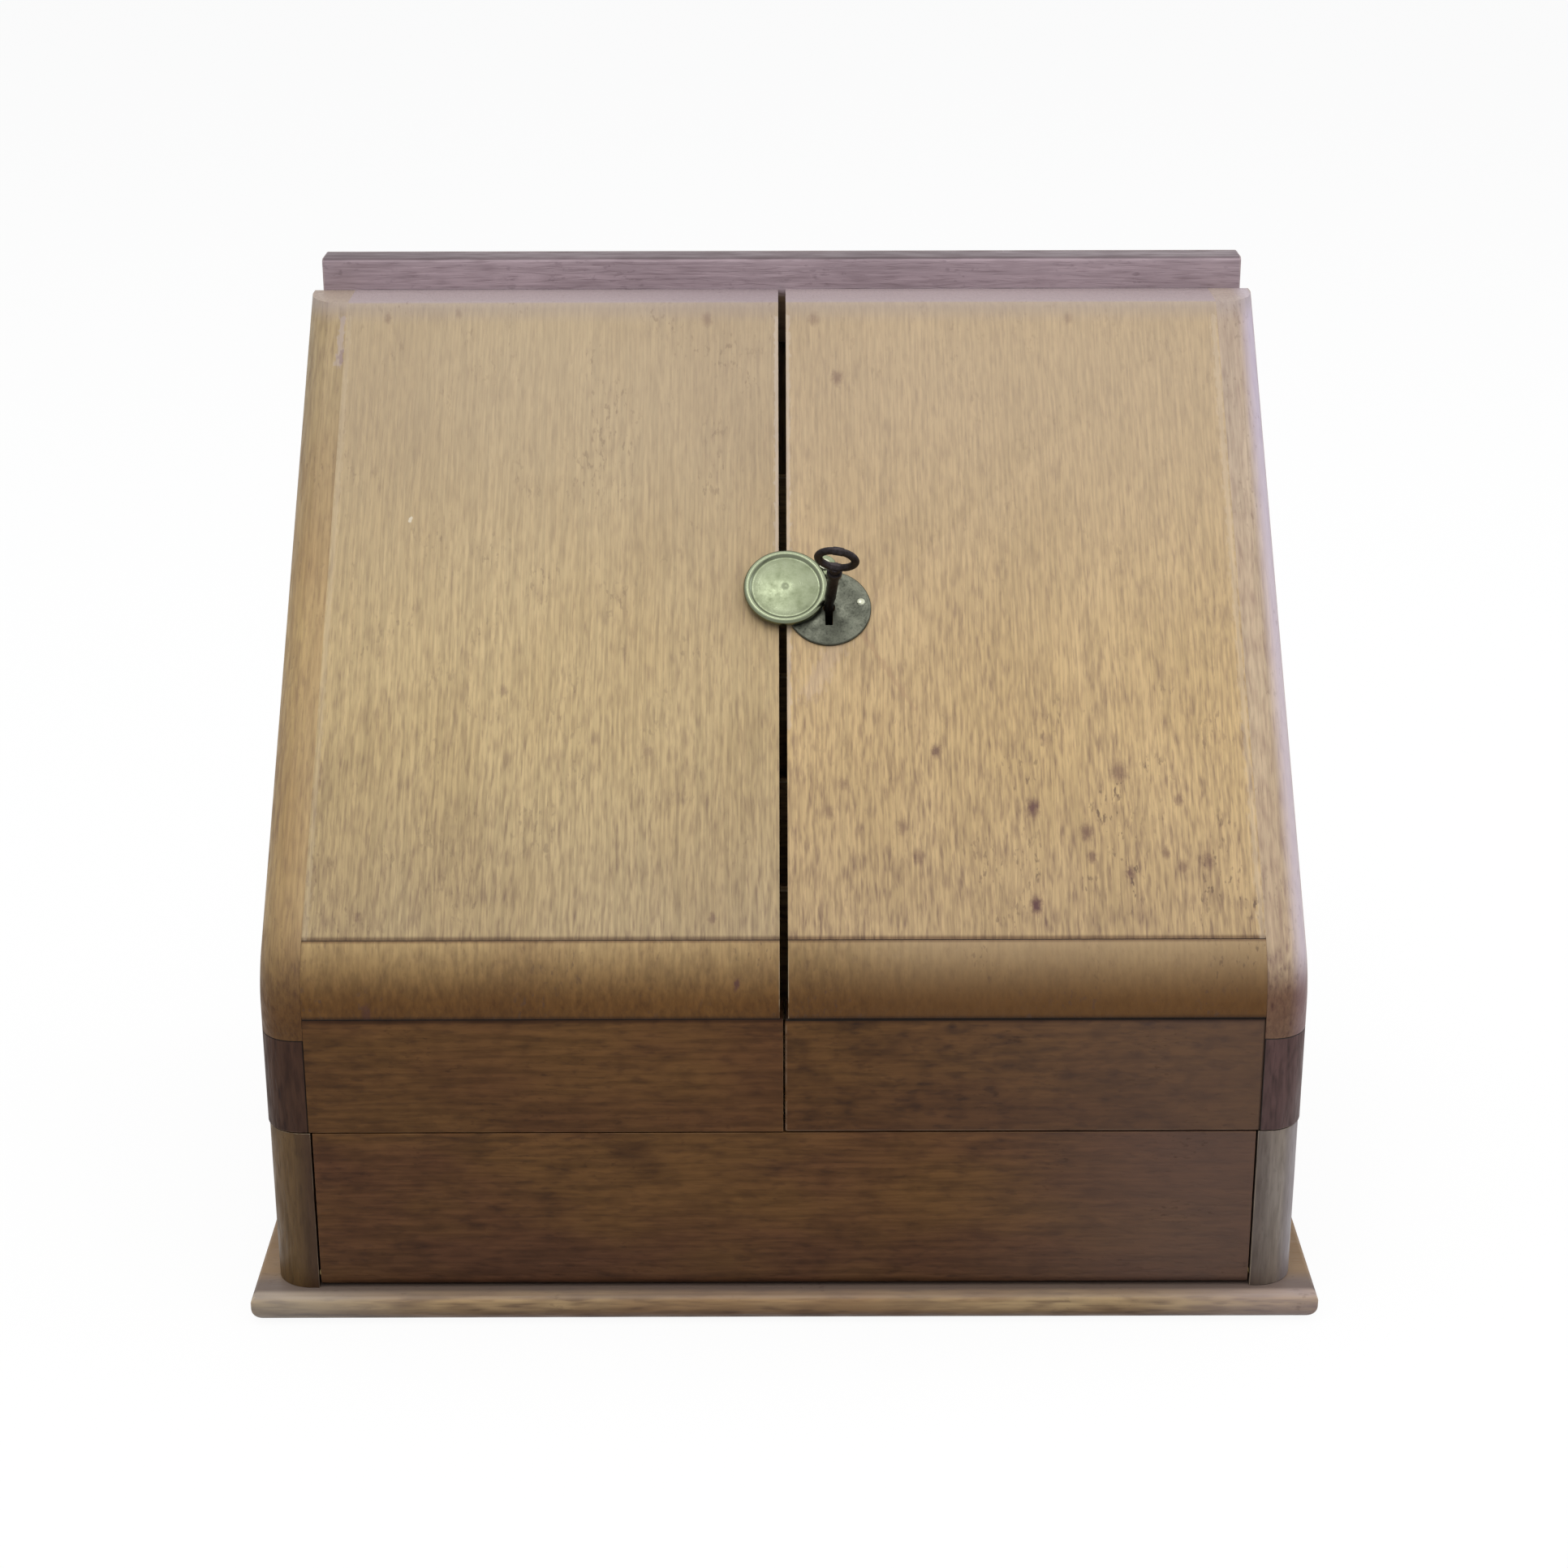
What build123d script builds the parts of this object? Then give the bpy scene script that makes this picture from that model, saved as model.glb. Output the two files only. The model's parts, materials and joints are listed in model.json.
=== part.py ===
from build123d import *
from math import acos, atan2, cos, degrees, radians, sin, tan
import os

# An oak stationery box with a sloping front. Two wrap-around doors, each a slope panel, a bullnose
# rail, a frieze and a three-cornered side board, swing on butt hinges at the rear corners. Behind
# them a letter rack and a pen tray stand on a deck. Under the deck is a paper compartment, closed by
# a fall front between the corner posts of the base box.
# Millimetres, +Z up, -Y towards the user, origin at the centre of the base board's underside.

# ---- Driving dimensions: carcass ----
body_width = 380.0            # across the two closed doors
frame_thickness = 16.3        # rails and stiles of the back frame
frame_inset = 3.3             # back frame stands in from the doors, each side
base_board_thickness = 11.2
base_board_projection = 7.7   # beyond the doors and the back
edge_top_round = 2.4          # moulded edge of the base board, above
edge_under_round = 6.8        # and below
base_box_height = 64.1        # base board's top to deck's top
base_inset = 0.5              # base box stands in from the doors, each side
base_side_thickness = 16.5
deck_thickness = 8.0
back_board_thickness = 14.0
stile_width = 28.0
bottom_rail_height = 28.0
top_rail_height = 35.0
top_rail_rise = 12.8          # top rail stands this far above the doors
top_rail_round = 2.0
back_panel_thickness = 8.0
panel_groove_depth = 6.0
panel_side_play = 0.1
panel_edge_play = 0.3

# ---- Driving dimensions: doors ----
door_height = 260.9
knee_height = 61.8            # sharp corner of front and slope, above the doors' bottom
slope_angle = 43.1
door_thickness = 17.0
door_side_thickness = 16.5
bullnose_radius = 37.0
bullnose_flat = 2.0           # straight face under the round, above the frieze
corner_round = 13.6
door_top_round = 8.0
door_gap = 3.0                # between the slope panels and between the bullnoses
frieze_gap = 0.7
door_base_gap = 0.4
corner_block_height = 37.0
door_range_clearance = 0.4    # doors' rear edge to the back frame

# ---- Driving dimensions: butt hinges ----
knuckle_radius = 3.0
knuckle_clearance = 0.2       # to the door's side face
knuckle_end_gap = 0.3
hinge_pin_radius = 1.3
hinge_pin_head_radius = 2.3
hinge_pin_head_height = 1.0
leaf_length = 50.0
leaf_width = 11.5
leaf_thickness = 1.5
leaf_recess_play = 0.1
hinge_from_bottom = 48.0
hinge_from_top = 70.0
hinge_screw_pitch = 30.0
running_fit = 0.05

# ---- Driving dimensions: wood screws ----
screw_head_radius = 2.2
screw_head_height = 1.1
screw_radius = 1.0
screw_length = 9.0
screw_fit = 0.03

# ---- Driving dimensions: fall front ----
fall_front_thickness = 14.0
fall_front_side_gap = 0.8
fall_front_bottom_gap = 0.4
fall_front_top_gap = 0.1      # below the deck's top
fall_front_pivot_offset = 4.0
fall_front_pin_radius = 1.5
fall_front_pin_in_post = 8.0
fall_front_pin_in_front = 6.0
fall_front_swing_gap = 0.2     # its inner top edge clears the doors' underside
fall_front_stop_gap = 0.3

# ---- Driving dimensions: letter rack and pen tray ----
rack_side_gap = 16.0          # cheeks to the side boards
rack_front_setback = 74.0     # doors' front face to the rack's cheeks
rack_headroom = 24.0          # under the slope panels, measured upright
cheek_thickness = 8.0
cheek_front_radius = 26.0
cheek_top_radius = 12.0
cheek_top_depth = 24.0
cheek_back_gap = 0.3
partition_count = 5
partition_thickness = 5.0
partition_first_inset = 4.0   # cheeks' front edge to the first partition
partition_last_inset = 20.0   # last partition to the cheeks' back edge
partition_drop = 9.0          # below the cheeks' sloping top
dado_depth = 3.0
dado_play = 0.1
scoop_width = 130.0
scoop_depth = 16.0
tray_depth = 44.0
tray_height = 14.0
tray_margin = 6.0
tray_trough_depth = 10.0
tray_trough_round = 8.0
tray_trough_bottom_round = 7.0
tray_edge_round = 2.0

# ---- Driving dimensions: lock, key and escutcheon ----
key_offset = 17.5             # centre line to the key
key_up_slope = 150.7          # sharp knee corner to the key, along the slope
plate_radius = 16.0
plate_thickness = 1.2
plate_bevel = 0.4
keyhole_play = 0.6
keyhole_slot_reach = 7.6
keyhole_slot_width = 2.9
plate_pin_spread = 12.4
plate_pin_angle = 11.0
plate_pin_radius = 0.8
plate_pin_length = 7.0
plate_pin_head_radius = 1.7
plate_pin_head_height = 0.6
plate_pin_head_taper = 45.0
pivot_across = -1.6           # cover's pivot from the key, across
pivot_up = 17.2               # and up the slope
lug_radius = 4.4
cover_arm = 17.7              # pivot to the cover's centre
cover_radius = 16.0
cover_height = 2.6
cover_wall = 0.9
cover_rim_width = 2.4
cover_dish_depth = 0.9
cover_dimple_radius = 1.6     # ball that sinks the small dimple in its middle
cover_dimple_depth = 0.4
cover_lift = 0.3              # above the heads of the plate's pins
cover_key_gap = 0.3
rivet_radius = 1.3
rivet_head_radius = 2.6
rivet_head_height = 0.9
rivet_head_taper = 22.5
rivet_length = 9.0
key_shank_radius = 1.75
key_shank_out = 31.5
key_tip_radius = 1.2
bow_half_width = 6.9          # to the middle of the bow's wire, across the key
bow_half_height = 5.8         # and along it
bow_wire_half_width = 1.6
bow_wire_half_thickness = 1.3
collar_radius = 2.9
collar_length = 2.4
collar_setback = 3.0
bit_reach = 7.0
bit_thickness = 2.0
bit_width = 5.0
case_setback = 0.3            # from the right door's free edge
case_width = 33.0
case_height = 27.0
case_depth = 10.5
case_wall = 1.2
case_below_key = 11.5
case_flange = 6.5
case_screw_spread = 20.0
bolt_bar_height = 8.0
bolt_thickness = 5.0
bolt_above_key = 3.2
bolt_tail = 9.0
bolt_finger_width = 4.0
bolt_finger_clearance = 2.3   # key's axis to the finger
bolt_finger_drop = 6.0        # below the key's axis
bolt_play = 0.1
bolt_retraction = 0.3
keeper_length = 12.0
keeper_wall = 1.4
keeper_play = 0.5
keeper_setback = 0.5
keeper_flange = 6.5

# ---- Driving dimensions: slide bolt of the left door ----
slide_bolt_offset = 13.0      # centre line to the bolt
slide_plate_width = 17.0
slide_plate_length = 34.0
slide_plate_thickness = 1.2
slide_plate_rise = 3.0        # above the door's bottom
slide_bar_width = 5.6
slide_bar_thickness = 2.4
slide_bar_length = 38.0
slide_bar_play = 0.15
slide_bar_end_gap = 0.3       # above the door's bottom
slide_loop_height = 4.0
slide_loop_wall = 1.0
slide_loop_inset = 4.0
slide_knob_radius = 2.4
slide_knob_height = 4.0
slide_knob_flare = 7.5        # its face is wider than its neck
slide_screw_inset = 2.9
socket_play = 0.5

# ---- Derived places ----
slope_rad = radians(slope_angle)
slope_rise = door_height - knee_height
slope_run = slope_rise / tan(slope_rad)
ledge_depth = door_thickness / sin(slope_rad)
body_depth = slope_run + ledge_depth + door_range_clearance + frame_thickness
half_width = body_width / 2
front_y = -body_depth / 2
rear_y = body_depth / 2
frame_front_y = rear_y - frame_thickness
door_rear_y = frame_front_y - door_range_clearance
slope_top_y = door_rear_y - ledge_depth
deck_top_z = base_board_thickness + base_box_height
door_bottom_z = deck_top_z + door_base_gap
knee_z = door_bottom_z + knee_height
door_top_z = door_bottom_z + door_height
overall_top_z = door_top_z + top_rail_rise
top_rail_bottom_z = overall_top_z - top_rail_height
door_side_inner = half_width - door_side_thickness
door_inner_y = front_y + door_thickness
base_half = half_width - base_inset
base_inner = base_half - base_side_thickness
frame_half = half_width - frame_inset
bullnose_tangent = bullnose_radius * tan(slope_rad / 2)
frieze_top_z = knee_z - bullnose_tangent - bullnose_flat
hinge_axis_x = half_width + knuckle_radius + knuckle_clearance
hinge_axis_y = (door_rear_y + frame_front_y) / 2
hinge_heights = (door_bottom_z + hinge_from_bottom, door_top_z - hinge_from_top)
knuckle_length = (leaf_length - 2 * knuckle_end_gap) / 3
bore_radius = hinge_pin_radius + running_fit
key_origin = (
    key_offset,
    front_y + key_up_slope * cos(slope_rad),
    knee_z + key_up_slope * sin(slope_rad),
)
key_plane = Plane(origin=key_origin, x_dir=(1, 0, 0), z_dir=(0, -sin(slope_rad), cos(slope_rad)))
key_axis = Axis(key_plane.origin, key_plane.z_dir)
rack_half = door_side_inner - rack_side_gap
cheek_inner = rack_half - cheek_thickness
rack_front_y = front_y + rack_front_setback
rack_back_y = frame_front_y - cheek_back_gap
first_partition_y = rack_front_y + partition_first_inset
last_partition_y = rack_back_y - partition_last_inset - partition_thickness
partition_pitch = (last_partition_y - first_partition_y) / (partition_count - 1)
sides = (("left", -1), ("right", 1))
screw_hole_radius = screw_radius + screw_fit
sink_radius = screw_head_radius + screw_fit
sink_angle = 2 * degrees(atan2(screw_head_radius - screw_radius, screw_head_height))

os.makedirs("parts", exist_ok=True)


def save(piece, name):
    """Label a finished piece and write its STEP file."""
    piece.part.label = name
    export_step(piece.part, f"parts/{name}.step")


def towards(hand):
    """Alignment that grows a box from the outer side face towards the middle."""
    return Align.MAX if hand > 0 else Align.MIN


def screws(name, planes):
    """Countersunk wood screws, one on each plane: head flush with the plane, shank below it."""
    with BuildPart() as group:
        with Locations(*planes):
            Cylinder(
                screw_radius,
                screw_length,
                align=(Align.CENTER, Align.CENTER, Align.MAX),
            )
            Cone(
                screw_radius,
                screw_head_radius,
                screw_head_height,
                align=(Align.CENTER, Align.CENTER, Align.MAX),
            )
    save(group, name)


# ---- Base board: solid oak, its edge moulded with a small round over a quarter round ----
with BuildPart() as base_board:
    with BuildSketch(Plane.XY):
        Rectangle(body_width + 2 * base_board_projection, body_depth + 2 * base_board_projection)
    extrude(amount=base_board_thickness)
    fillet(base_board.faces().sort_by(Axis.Z)[-1].edges(), radius=edge_top_round)
    fillet(base_board.faces().sort_by(Axis.Z)[0].edges(), radius=edge_under_round)
save(base_board, "base_board")

# ---- Fall front's pivot: brass pins in blind holes of the corner posts ----
fall_pivot_y = front_y + fall_front_pivot_offset
fall_pivot_z = base_board_thickness + fall_front_bottom_gap + fall_front_pivot_offset
fall_front_half = base_inner - fall_front_side_gap

# ---- Base box: side boards and quarter-round corner posts ----
for side, hand in sides:
    with BuildPart() as base_side:
        with BuildSketch(Plane.XY.offset(base_board_thickness)):
            with Locations((hand * base_half, front_y + base_side_thickness)):
                Rectangle(
                    base_side_thickness,
                    body_depth - base_side_thickness,
                    align=(towards(hand), Align.MIN),
                )
        extrude(amount=base_box_height)
    save(base_side, f"base_side_{side}")

    with BuildPart() as base_corner:
        with BuildSketch(Plane.XY.offset(base_board_thickness)):
            with Locations((hand * base_half, front_y)):
                Rectangle(base_side_thickness, base_side_thickness, align=(towards(hand), Align.MIN))
        extrude(amount=base_box_height)
        outer_face = base_corner.faces().sort_by(Axis.X)[-1 if hand > 0 else 0]
        fillet(outer_face.edges().sort_by(Axis.Y)[0], radius=corner_round)
        with BuildSketch(Plane.YZ.offset(hand * base_inner)):
            with Locations((fall_pivot_y, fall_pivot_z)):
                Circle(fall_front_pin_radius + screw_fit)
        extrude(amount=hand * fall_front_pin_in_post, mode=Mode.SUBTRACT)
    save(base_corner, f"base_corner_{side}")

with BuildPart() as fall_front_pins:
    for side, hand in sides:
        with BuildSketch(Plane.YZ.offset(hand * (base_inner + fall_front_pin_in_post))):
            with Locations((fall_pivot_y, fall_pivot_z)):
                Circle(fall_front_pin_radius)
        extrude(amount=-hand * (fall_front_pin_in_post + fall_front_pin_in_front))
save(fall_front_pins, "fall_front_pins")

with BuildPart() as base_back:
    with BuildSketch(Plane.XY.offset(base_board_thickness)):
        with Locations((0, rear_y)):
            Rectangle(2 * base_inner, back_board_thickness, align=(Align.CENTER, Align.MAX))
    extrude(amount=base_box_height)
save(base_back, "base_back")

# ---- Slide bolt's place, which the deck's socket follows ----
slide_bar_front_y = door_inner_y + slide_plate_thickness + slide_bar_play
slide_bar_mid_y = slide_bar_front_y + slide_bar_thickness / 2

# ---- Deck: closes the paper compartment and carries the rack ----
deck_front_y = front_y + fall_front_thickness + fall_front_stop_gap
with BuildPart() as deck:
    with BuildSketch(Plane.XY.offset(deck_top_z - deck_thickness)):
        with Locations((0, deck_front_y)):
            Rectangle(
                2 * base_inner,
                rear_y - back_board_thickness - deck_front_y,
                align=(Align.CENTER, Align.MIN),
            )
        with Locations((-slide_bolt_offset, slide_bar_mid_y)):
            Rectangle(
                slide_bar_width + 2 * socket_play,
                slide_bar_thickness + 2 * socket_play,
                mode=Mode.SUBTRACT,
            )
    extrude(amount=deck_thickness)
save(deck, "deck")

# ---- Fall front: drops forward about its lower edge, which is rounded round the pivot ----
fall_front_top_z = deck_top_z - fall_front_top_gap
fall_front_bottom_z = base_board_thickness + fall_front_bottom_gap
swing_reach = door_bottom_z - fall_front_swing_gap - fall_pivot_z
pivot_to_top = fall_front_top_z - fall_pivot_z
top_land = (swing_reach**2 - pivot_to_top**2) ** 0.5 + fall_front_pivot_offset
with BuildPart() as fall_front:
    with BuildSketch(Plane.YZ.offset(-fall_front_half)):
        with Locations((front_y, fall_front_bottom_z)):
            Rectangle(
                fall_front_thickness,
                fall_front_top_z - fall_front_bottom_z,
                align=(Align.MIN, Align.MIN),
            )
    extrude(amount=2 * fall_front_half)
    long_edges = fall_front.edges().filter_by(Axis.X)
    fillet(long_edges.group_by(Axis.Z)[0].sort_by(Axis.Y)[0], radius=fall_front_pivot_offset)
    long_edges = fall_front.edges().filter_by(Axis.X)
    chamfer(long_edges.group_by(Axis.Z)[-1].sort_by(Axis.Y)[-1], length=fall_front_thickness - top_land)
    for side, hand in sides:
        with BuildSketch(Plane.YZ.offset(hand * fall_front_half)):
            with Locations((fall_pivot_y, fall_pivot_z)):
                Circle(fall_front_pin_radius + running_fit)
        extrude(amount=-hand * fall_front_pin_in_front, mode=Mode.SUBTRACT)
save(fall_front, "fall_front")

# ---- Back frame: two stiles, a bottom rail and a top rail, grooved for a thin panel ----
frame_mid_y = (frame_front_y + rear_y) / 2
groove_width = back_panel_thickness + 2 * panel_side_play
opening_half = frame_half - stile_width
opening_bottom_z = deck_top_z + bottom_rail_height


def frame_leaf_planes(hand):
    """Screw places on the frame's hinge leaves of one side, facing the door."""
    return [
        Plane(
            origin=(
                hand * (frame_half - leaf_width / 2),
                frame_front_y,
                height + offset * hinge_screw_pitch / 2,
            ),
            x_dir=(1, 0, 0),
            z_dir=(0, -1, 0),
        )
        for height in hinge_heights
        for offset in (-1, 1)
    ]


def door_leaf_planes(hand):
    """Screw places on the door's hinge leaves of one side, facing the frame."""
    return [
        Plane(
            origin=(
                hand * (half_width - leaf_width / 2),
                door_rear_y,
                height + offset * hinge_screw_pitch / 2,
            ),
            x_dir=(-1, 0, 0),
            z_dir=(0, 1, 0),
        )
        for height in hinge_heights
        for offset in (-1, 1)
    ]


for side, hand in sides:
    with BuildPart() as stile:
        with BuildSketch(Plane.XY.offset(deck_top_z)):
            with Locations((hand * frame_half, frame_front_y)):
                Rectangle(stile_width, frame_thickness, align=(towards(hand), Align.MIN))
            with Locations((hand * opening_half, frame_mid_y)):
                Rectangle(2 * panel_groove_depth, groove_width, mode=Mode.SUBTRACT)
        extrude(amount=top_rail_bottom_z - deck_top_z)
        with Locations(*[(hand * frame_half, frame_front_y, height) for height in hinge_heights]):
            Box(
                leaf_width + leaf_recess_play,
                2 * leaf_thickness,
                leaf_length + 2 * leaf_recess_play,
                align=(towards(hand), Align.CENTER, Align.CENTER),
                mode=Mode.SUBTRACT,
            )
        with Locations(*frame_leaf_planes(hand)):
            Hole(screw_hole_radius, depth=screw_length)
    save(stile, f"back_stile_{side}")

with BuildPart() as bottom_rail:
    with BuildSketch(Plane.YZ.offset(-opening_half)):
        with Locations((frame_mid_y, deck_top_z)):
            Rectangle(frame_thickness, bottom_rail_height, align=(Align.CENTER, Align.MIN))
        with Locations((frame_mid_y, opening_bottom_z)):
            Rectangle(groove_width, 2 * panel_groove_depth, mode=Mode.SUBTRACT)
    extrude(amount=2 * opening_half)
save(bottom_rail, "back_bottom_rail")

with BuildPart() as top_rail:
    with BuildSketch(Plane.YZ.offset(-frame_half)):
        with Locations((frame_mid_y, top_rail_bottom_z)):
            Rectangle(frame_thickness, top_rail_height, align=(Align.CENTER, Align.MIN))
    extrude(amount=2 * frame_half)
    with Locations((0, frame_mid_y, top_rail_bottom_z)):
        Box(
            2 * (opening_half + panel_groove_depth),
            groove_width,
            2 * panel_groove_depth,
            mode=Mode.SUBTRACT,
        )
    fillet(top_rail.faces().sort_by(Axis.Z)[-1].edges().filter_by(Axis.X), radius=top_rail_round)
save(top_rail, "back_top_rail")

with BuildPart() as back_panel:
    with BuildSketch(Plane.XZ.offset(-(frame_mid_y + back_panel_thickness / 2))):
        with Locations((0, opening_bottom_z - panel_groove_depth + panel_edge_play)):
            Rectangle(
                2 * (opening_half + panel_groove_depth - panel_edge_play),
                top_rail_bottom_z - opening_bottom_z + 2 * (panel_groove_depth - panel_edge_play),
                align=(Align.CENTER, Align.MIN),
            )
    extrude(amount=back_panel_thickness)
save(back_panel, "back_panel")

# ---- Places of the lock, keeper and slide bolt on the doors' inner faces ----
case_inner = -door_thickness
case_back = case_inner - case_depth
case_left = door_gap / 2 + case_setback - key_offset
case_bottom = -case_below_key
case_mid_across = case_left + case_width / 2
case_mid_up = case_bottom + case_height / 2
bolt_nose = case_left + bolt_retraction
lock_screw_planes = [
    Plane(
        origin=key_plane.from_local_coords(
            (
                case_mid_across + across * case_screw_spread / 2,
                case_mid_up + up * (case_height + case_flange) / 2,
                case_inner - case_wall,
            )
        ),
        x_dir=key_plane.x_dir,
        z_dir=-key_plane.z_dir,
    )
    for across in (-1, 1)
    for up in (-1, 1)
]
keeper_right = -door_gap / 2 - keeper_setback - key_offset
keeper_mid = keeper_right - keeper_length / 2
keeper_mid_up = bolt_above_key + bolt_bar_height / 2
keeper_cavity_height = bolt_bar_height + 2 * keeper_play
keeper_height = keeper_cavity_height + 2 * keeper_wall
keeper_screw_planes = [
    Plane(
        origin=key_plane.from_local_coords(
            (
                keeper_mid,
                keeper_mid_up + up * (keeper_height + keeper_flange) / 2,
                case_inner - case_wall,
            )
        ),
        x_dir=key_plane.x_dir,
        z_dir=-key_plane.z_dir,
    )
    for up in (-1, 1)
]
slide_plate_bottom_z = door_bottom_z + slide_plate_rise
slide_plate_mid_z = slide_plate_bottom_z + slide_plate_length / 2
slide_screw_planes = [
    Plane(
        origin=(
            -slide_bolt_offset + across * (slide_plate_width / 2 - slide_screw_inset),
            door_inner_y + slide_plate_thickness,
            slide_plate_mid_z,
        ),
        x_dir=(-1, 0, 0),
        z_dir=(0, 1, 0),
    )
    for across in (-1, 1)
]

# ---- Doors: side board, corner block, slope panel, bullnose rail and frieze ----
inner_knee_z = knee_z - door_thickness * tan(slope_rad / 2)
joint_y = front_y + bullnose_tangent * cos(slope_rad)
joint_z = knee_z + bullnose_tangent * sin(slope_rad)
joint_inner_y = joint_y + door_thickness * sin(slope_rad)
joint_inner_z = joint_z - door_thickness * cos(slope_rad)
round_tangent = door_top_round * tan(slope_rad / 2)
round_start = (
    slope_top_y - round_tangent * cos(slope_rad),
    door_top_z - round_tangent * sin(slope_rad),
)
round_end = (slope_top_y + round_tangent, door_top_z)
round_middle = (
    slope_top_y + round_tangent - door_top_round * sin(slope_rad / 2),
    door_top_z - door_top_round * (1 - cos(slope_rad / 2)),
)

for side, hand in sides:
    with BuildPart() as side_board:
        with BuildSketch(Plane.YZ.offset(hand * door_side_inner)):
            with BuildLine():
                FilletPolyline(
                    (front_y, door_bottom_z),
                    (front_y, knee_z),
                    (slope_top_y, door_top_z),
                    radius=bullnose_radius,
                )
                Polyline(
                    (slope_top_y, door_top_z),
                    (door_rear_y, door_top_z),
                    (door_rear_y, door_bottom_z),
                    (front_y, door_bottom_z),
                )
            make_face()
        extrude(amount=hand * door_side_thickness)
        outer_face = side_board.faces().sort_by(Axis.X)[-1 if hand > 0 else 0]
        front_path = outer_face.edges().sort_by(Axis.Y)[:-1].sort_by(Axis.Z)[1:-1]
        fillet(front_path, radius=corner_round)
        with BuildSketch(Plane.YZ.offset(hand * door_side_inner)):
            with BuildLine():
                Polyline(round_start, (slope_top_y, door_top_z), round_end)
                ThreePointArc(round_end, round_middle, round_start)
            make_face()
        extrude(amount=hand * door_side_thickness, mode=Mode.SUBTRACT)
        with Locations((hand * half_width, front_y, door_bottom_z)):
            Box(
                door_side_thickness,
                door_side_thickness,
                corner_block_height,
                align=(towards(hand), Align.MIN, Align.MIN),
                mode=Mode.SUBTRACT,
            )
        with Locations(*[(hand * half_width, door_rear_y, height) for height in hinge_heights]):
            Box(
                leaf_width + leaf_recess_play,
                2 * leaf_thickness,
                leaf_length + 2 * leaf_recess_play,
                align=(towards(hand), Align.CENTER, Align.CENTER),
                mode=Mode.SUBTRACT,
            )
        with Locations(*door_leaf_planes(hand)):
            Hole(screw_hole_radius, depth=screw_length)
    save(side_board, f"door_side_{side}")

    with BuildPart() as corner_block:
        with BuildSketch(Plane.XY.offset(door_bottom_z)):
            with Locations((hand * half_width, front_y)):
                Rectangle(door_side_thickness, door_side_thickness, align=(towards(hand), Align.MIN))
        extrude(amount=corner_block_height)
        outer_face = corner_block.faces().sort_by(Axis.X)[-1 if hand > 0 else 0]
        fillet(outer_face.edges().sort_by(Axis.Y)[0], radius=corner_round)
    save(corner_block, f"door_corner_{side}")

    panel_start = hand * door_gap / 2
    panel_run = hand * (door_side_inner - door_gap / 2)

    with BuildPart() as slope_panel:
        with BuildSketch(Plane.YZ.offset(panel_start)):
            with BuildLine():
                FilletPolyline(
                    (joint_y, joint_z),
                    (slope_top_y, door_top_z),
                    (door_rear_y, door_top_z),
                    radius=door_top_round,
                )
                Polyline((door_rear_y, door_top_z), (joint_inner_y, joint_inner_z), (joint_y, joint_z))
            make_face()
        extrude(amount=panel_run)
        if hand > 0:
            with BuildSketch(key_plane):
                Circle(key_shank_radius + keyhole_play)
                Rectangle(keyhole_slot_width, keyhole_slot_reach, align=(Align.CENTER, Align.MAX))
            extrude(amount=-door_thickness, mode=Mode.SUBTRACT)
            with BuildSketch(key_plane):
                with Locations((pivot_across, pivot_up)):
                    Circle(rivet_radius + screw_fit)
            extrude(amount=-rivet_length, mode=Mode.SUBTRACT)
            with BuildSketch(key_plane):
                with PolarLocations(plate_pin_spread, 2, start_angle=plate_pin_angle):
                    Circle(plate_pin_radius + screw_fit)
            extrude(amount=-plate_pin_length, mode=Mode.SUBTRACT)
        with Locations(*(lock_screw_planes if hand > 0 else keeper_screw_planes)):
            Hole(screw_hole_radius, depth=screw_length)
    save(slope_panel, f"slope_panel_{side}")

    with BuildPart() as bullnose:
        with BuildSketch(Plane.YZ.offset(panel_start)):
            with BuildLine():
                Line((front_y, frieze_top_z), (front_y, knee_z - bullnose_tangent))
                TangentArc((front_y, knee_z - bullnose_tangent), (joint_y, joint_z), tangent=(0, 1))
                Polyline(
                    (joint_y, joint_z),
                    (joint_inner_y, joint_inner_z),
                    (door_inner_y, inner_knee_z),
                    (door_inner_y, frieze_top_z),
                    (front_y, frieze_top_z),
                )
            make_face()
        extrude(amount=panel_run)
    save(bullnose, f"bullnose_{side}")

    with BuildPart() as frieze:
        with BuildSketch(Plane.YZ.offset(hand * frieze_gap / 2)):
            with Locations((front_y, door_bottom_z)):
                Rectangle(door_thickness, frieze_top_z - door_bottom_z, align=(Align.MIN, Align.MIN))
        extrude(amount=hand * (door_side_inner - frieze_gap / 2))
        if hand < 0:
            with Locations(*slide_screw_planes):
                Hole(screw_hole_radius, depth=screw_length)
    save(frieze, f"frieze_{side}")

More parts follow.
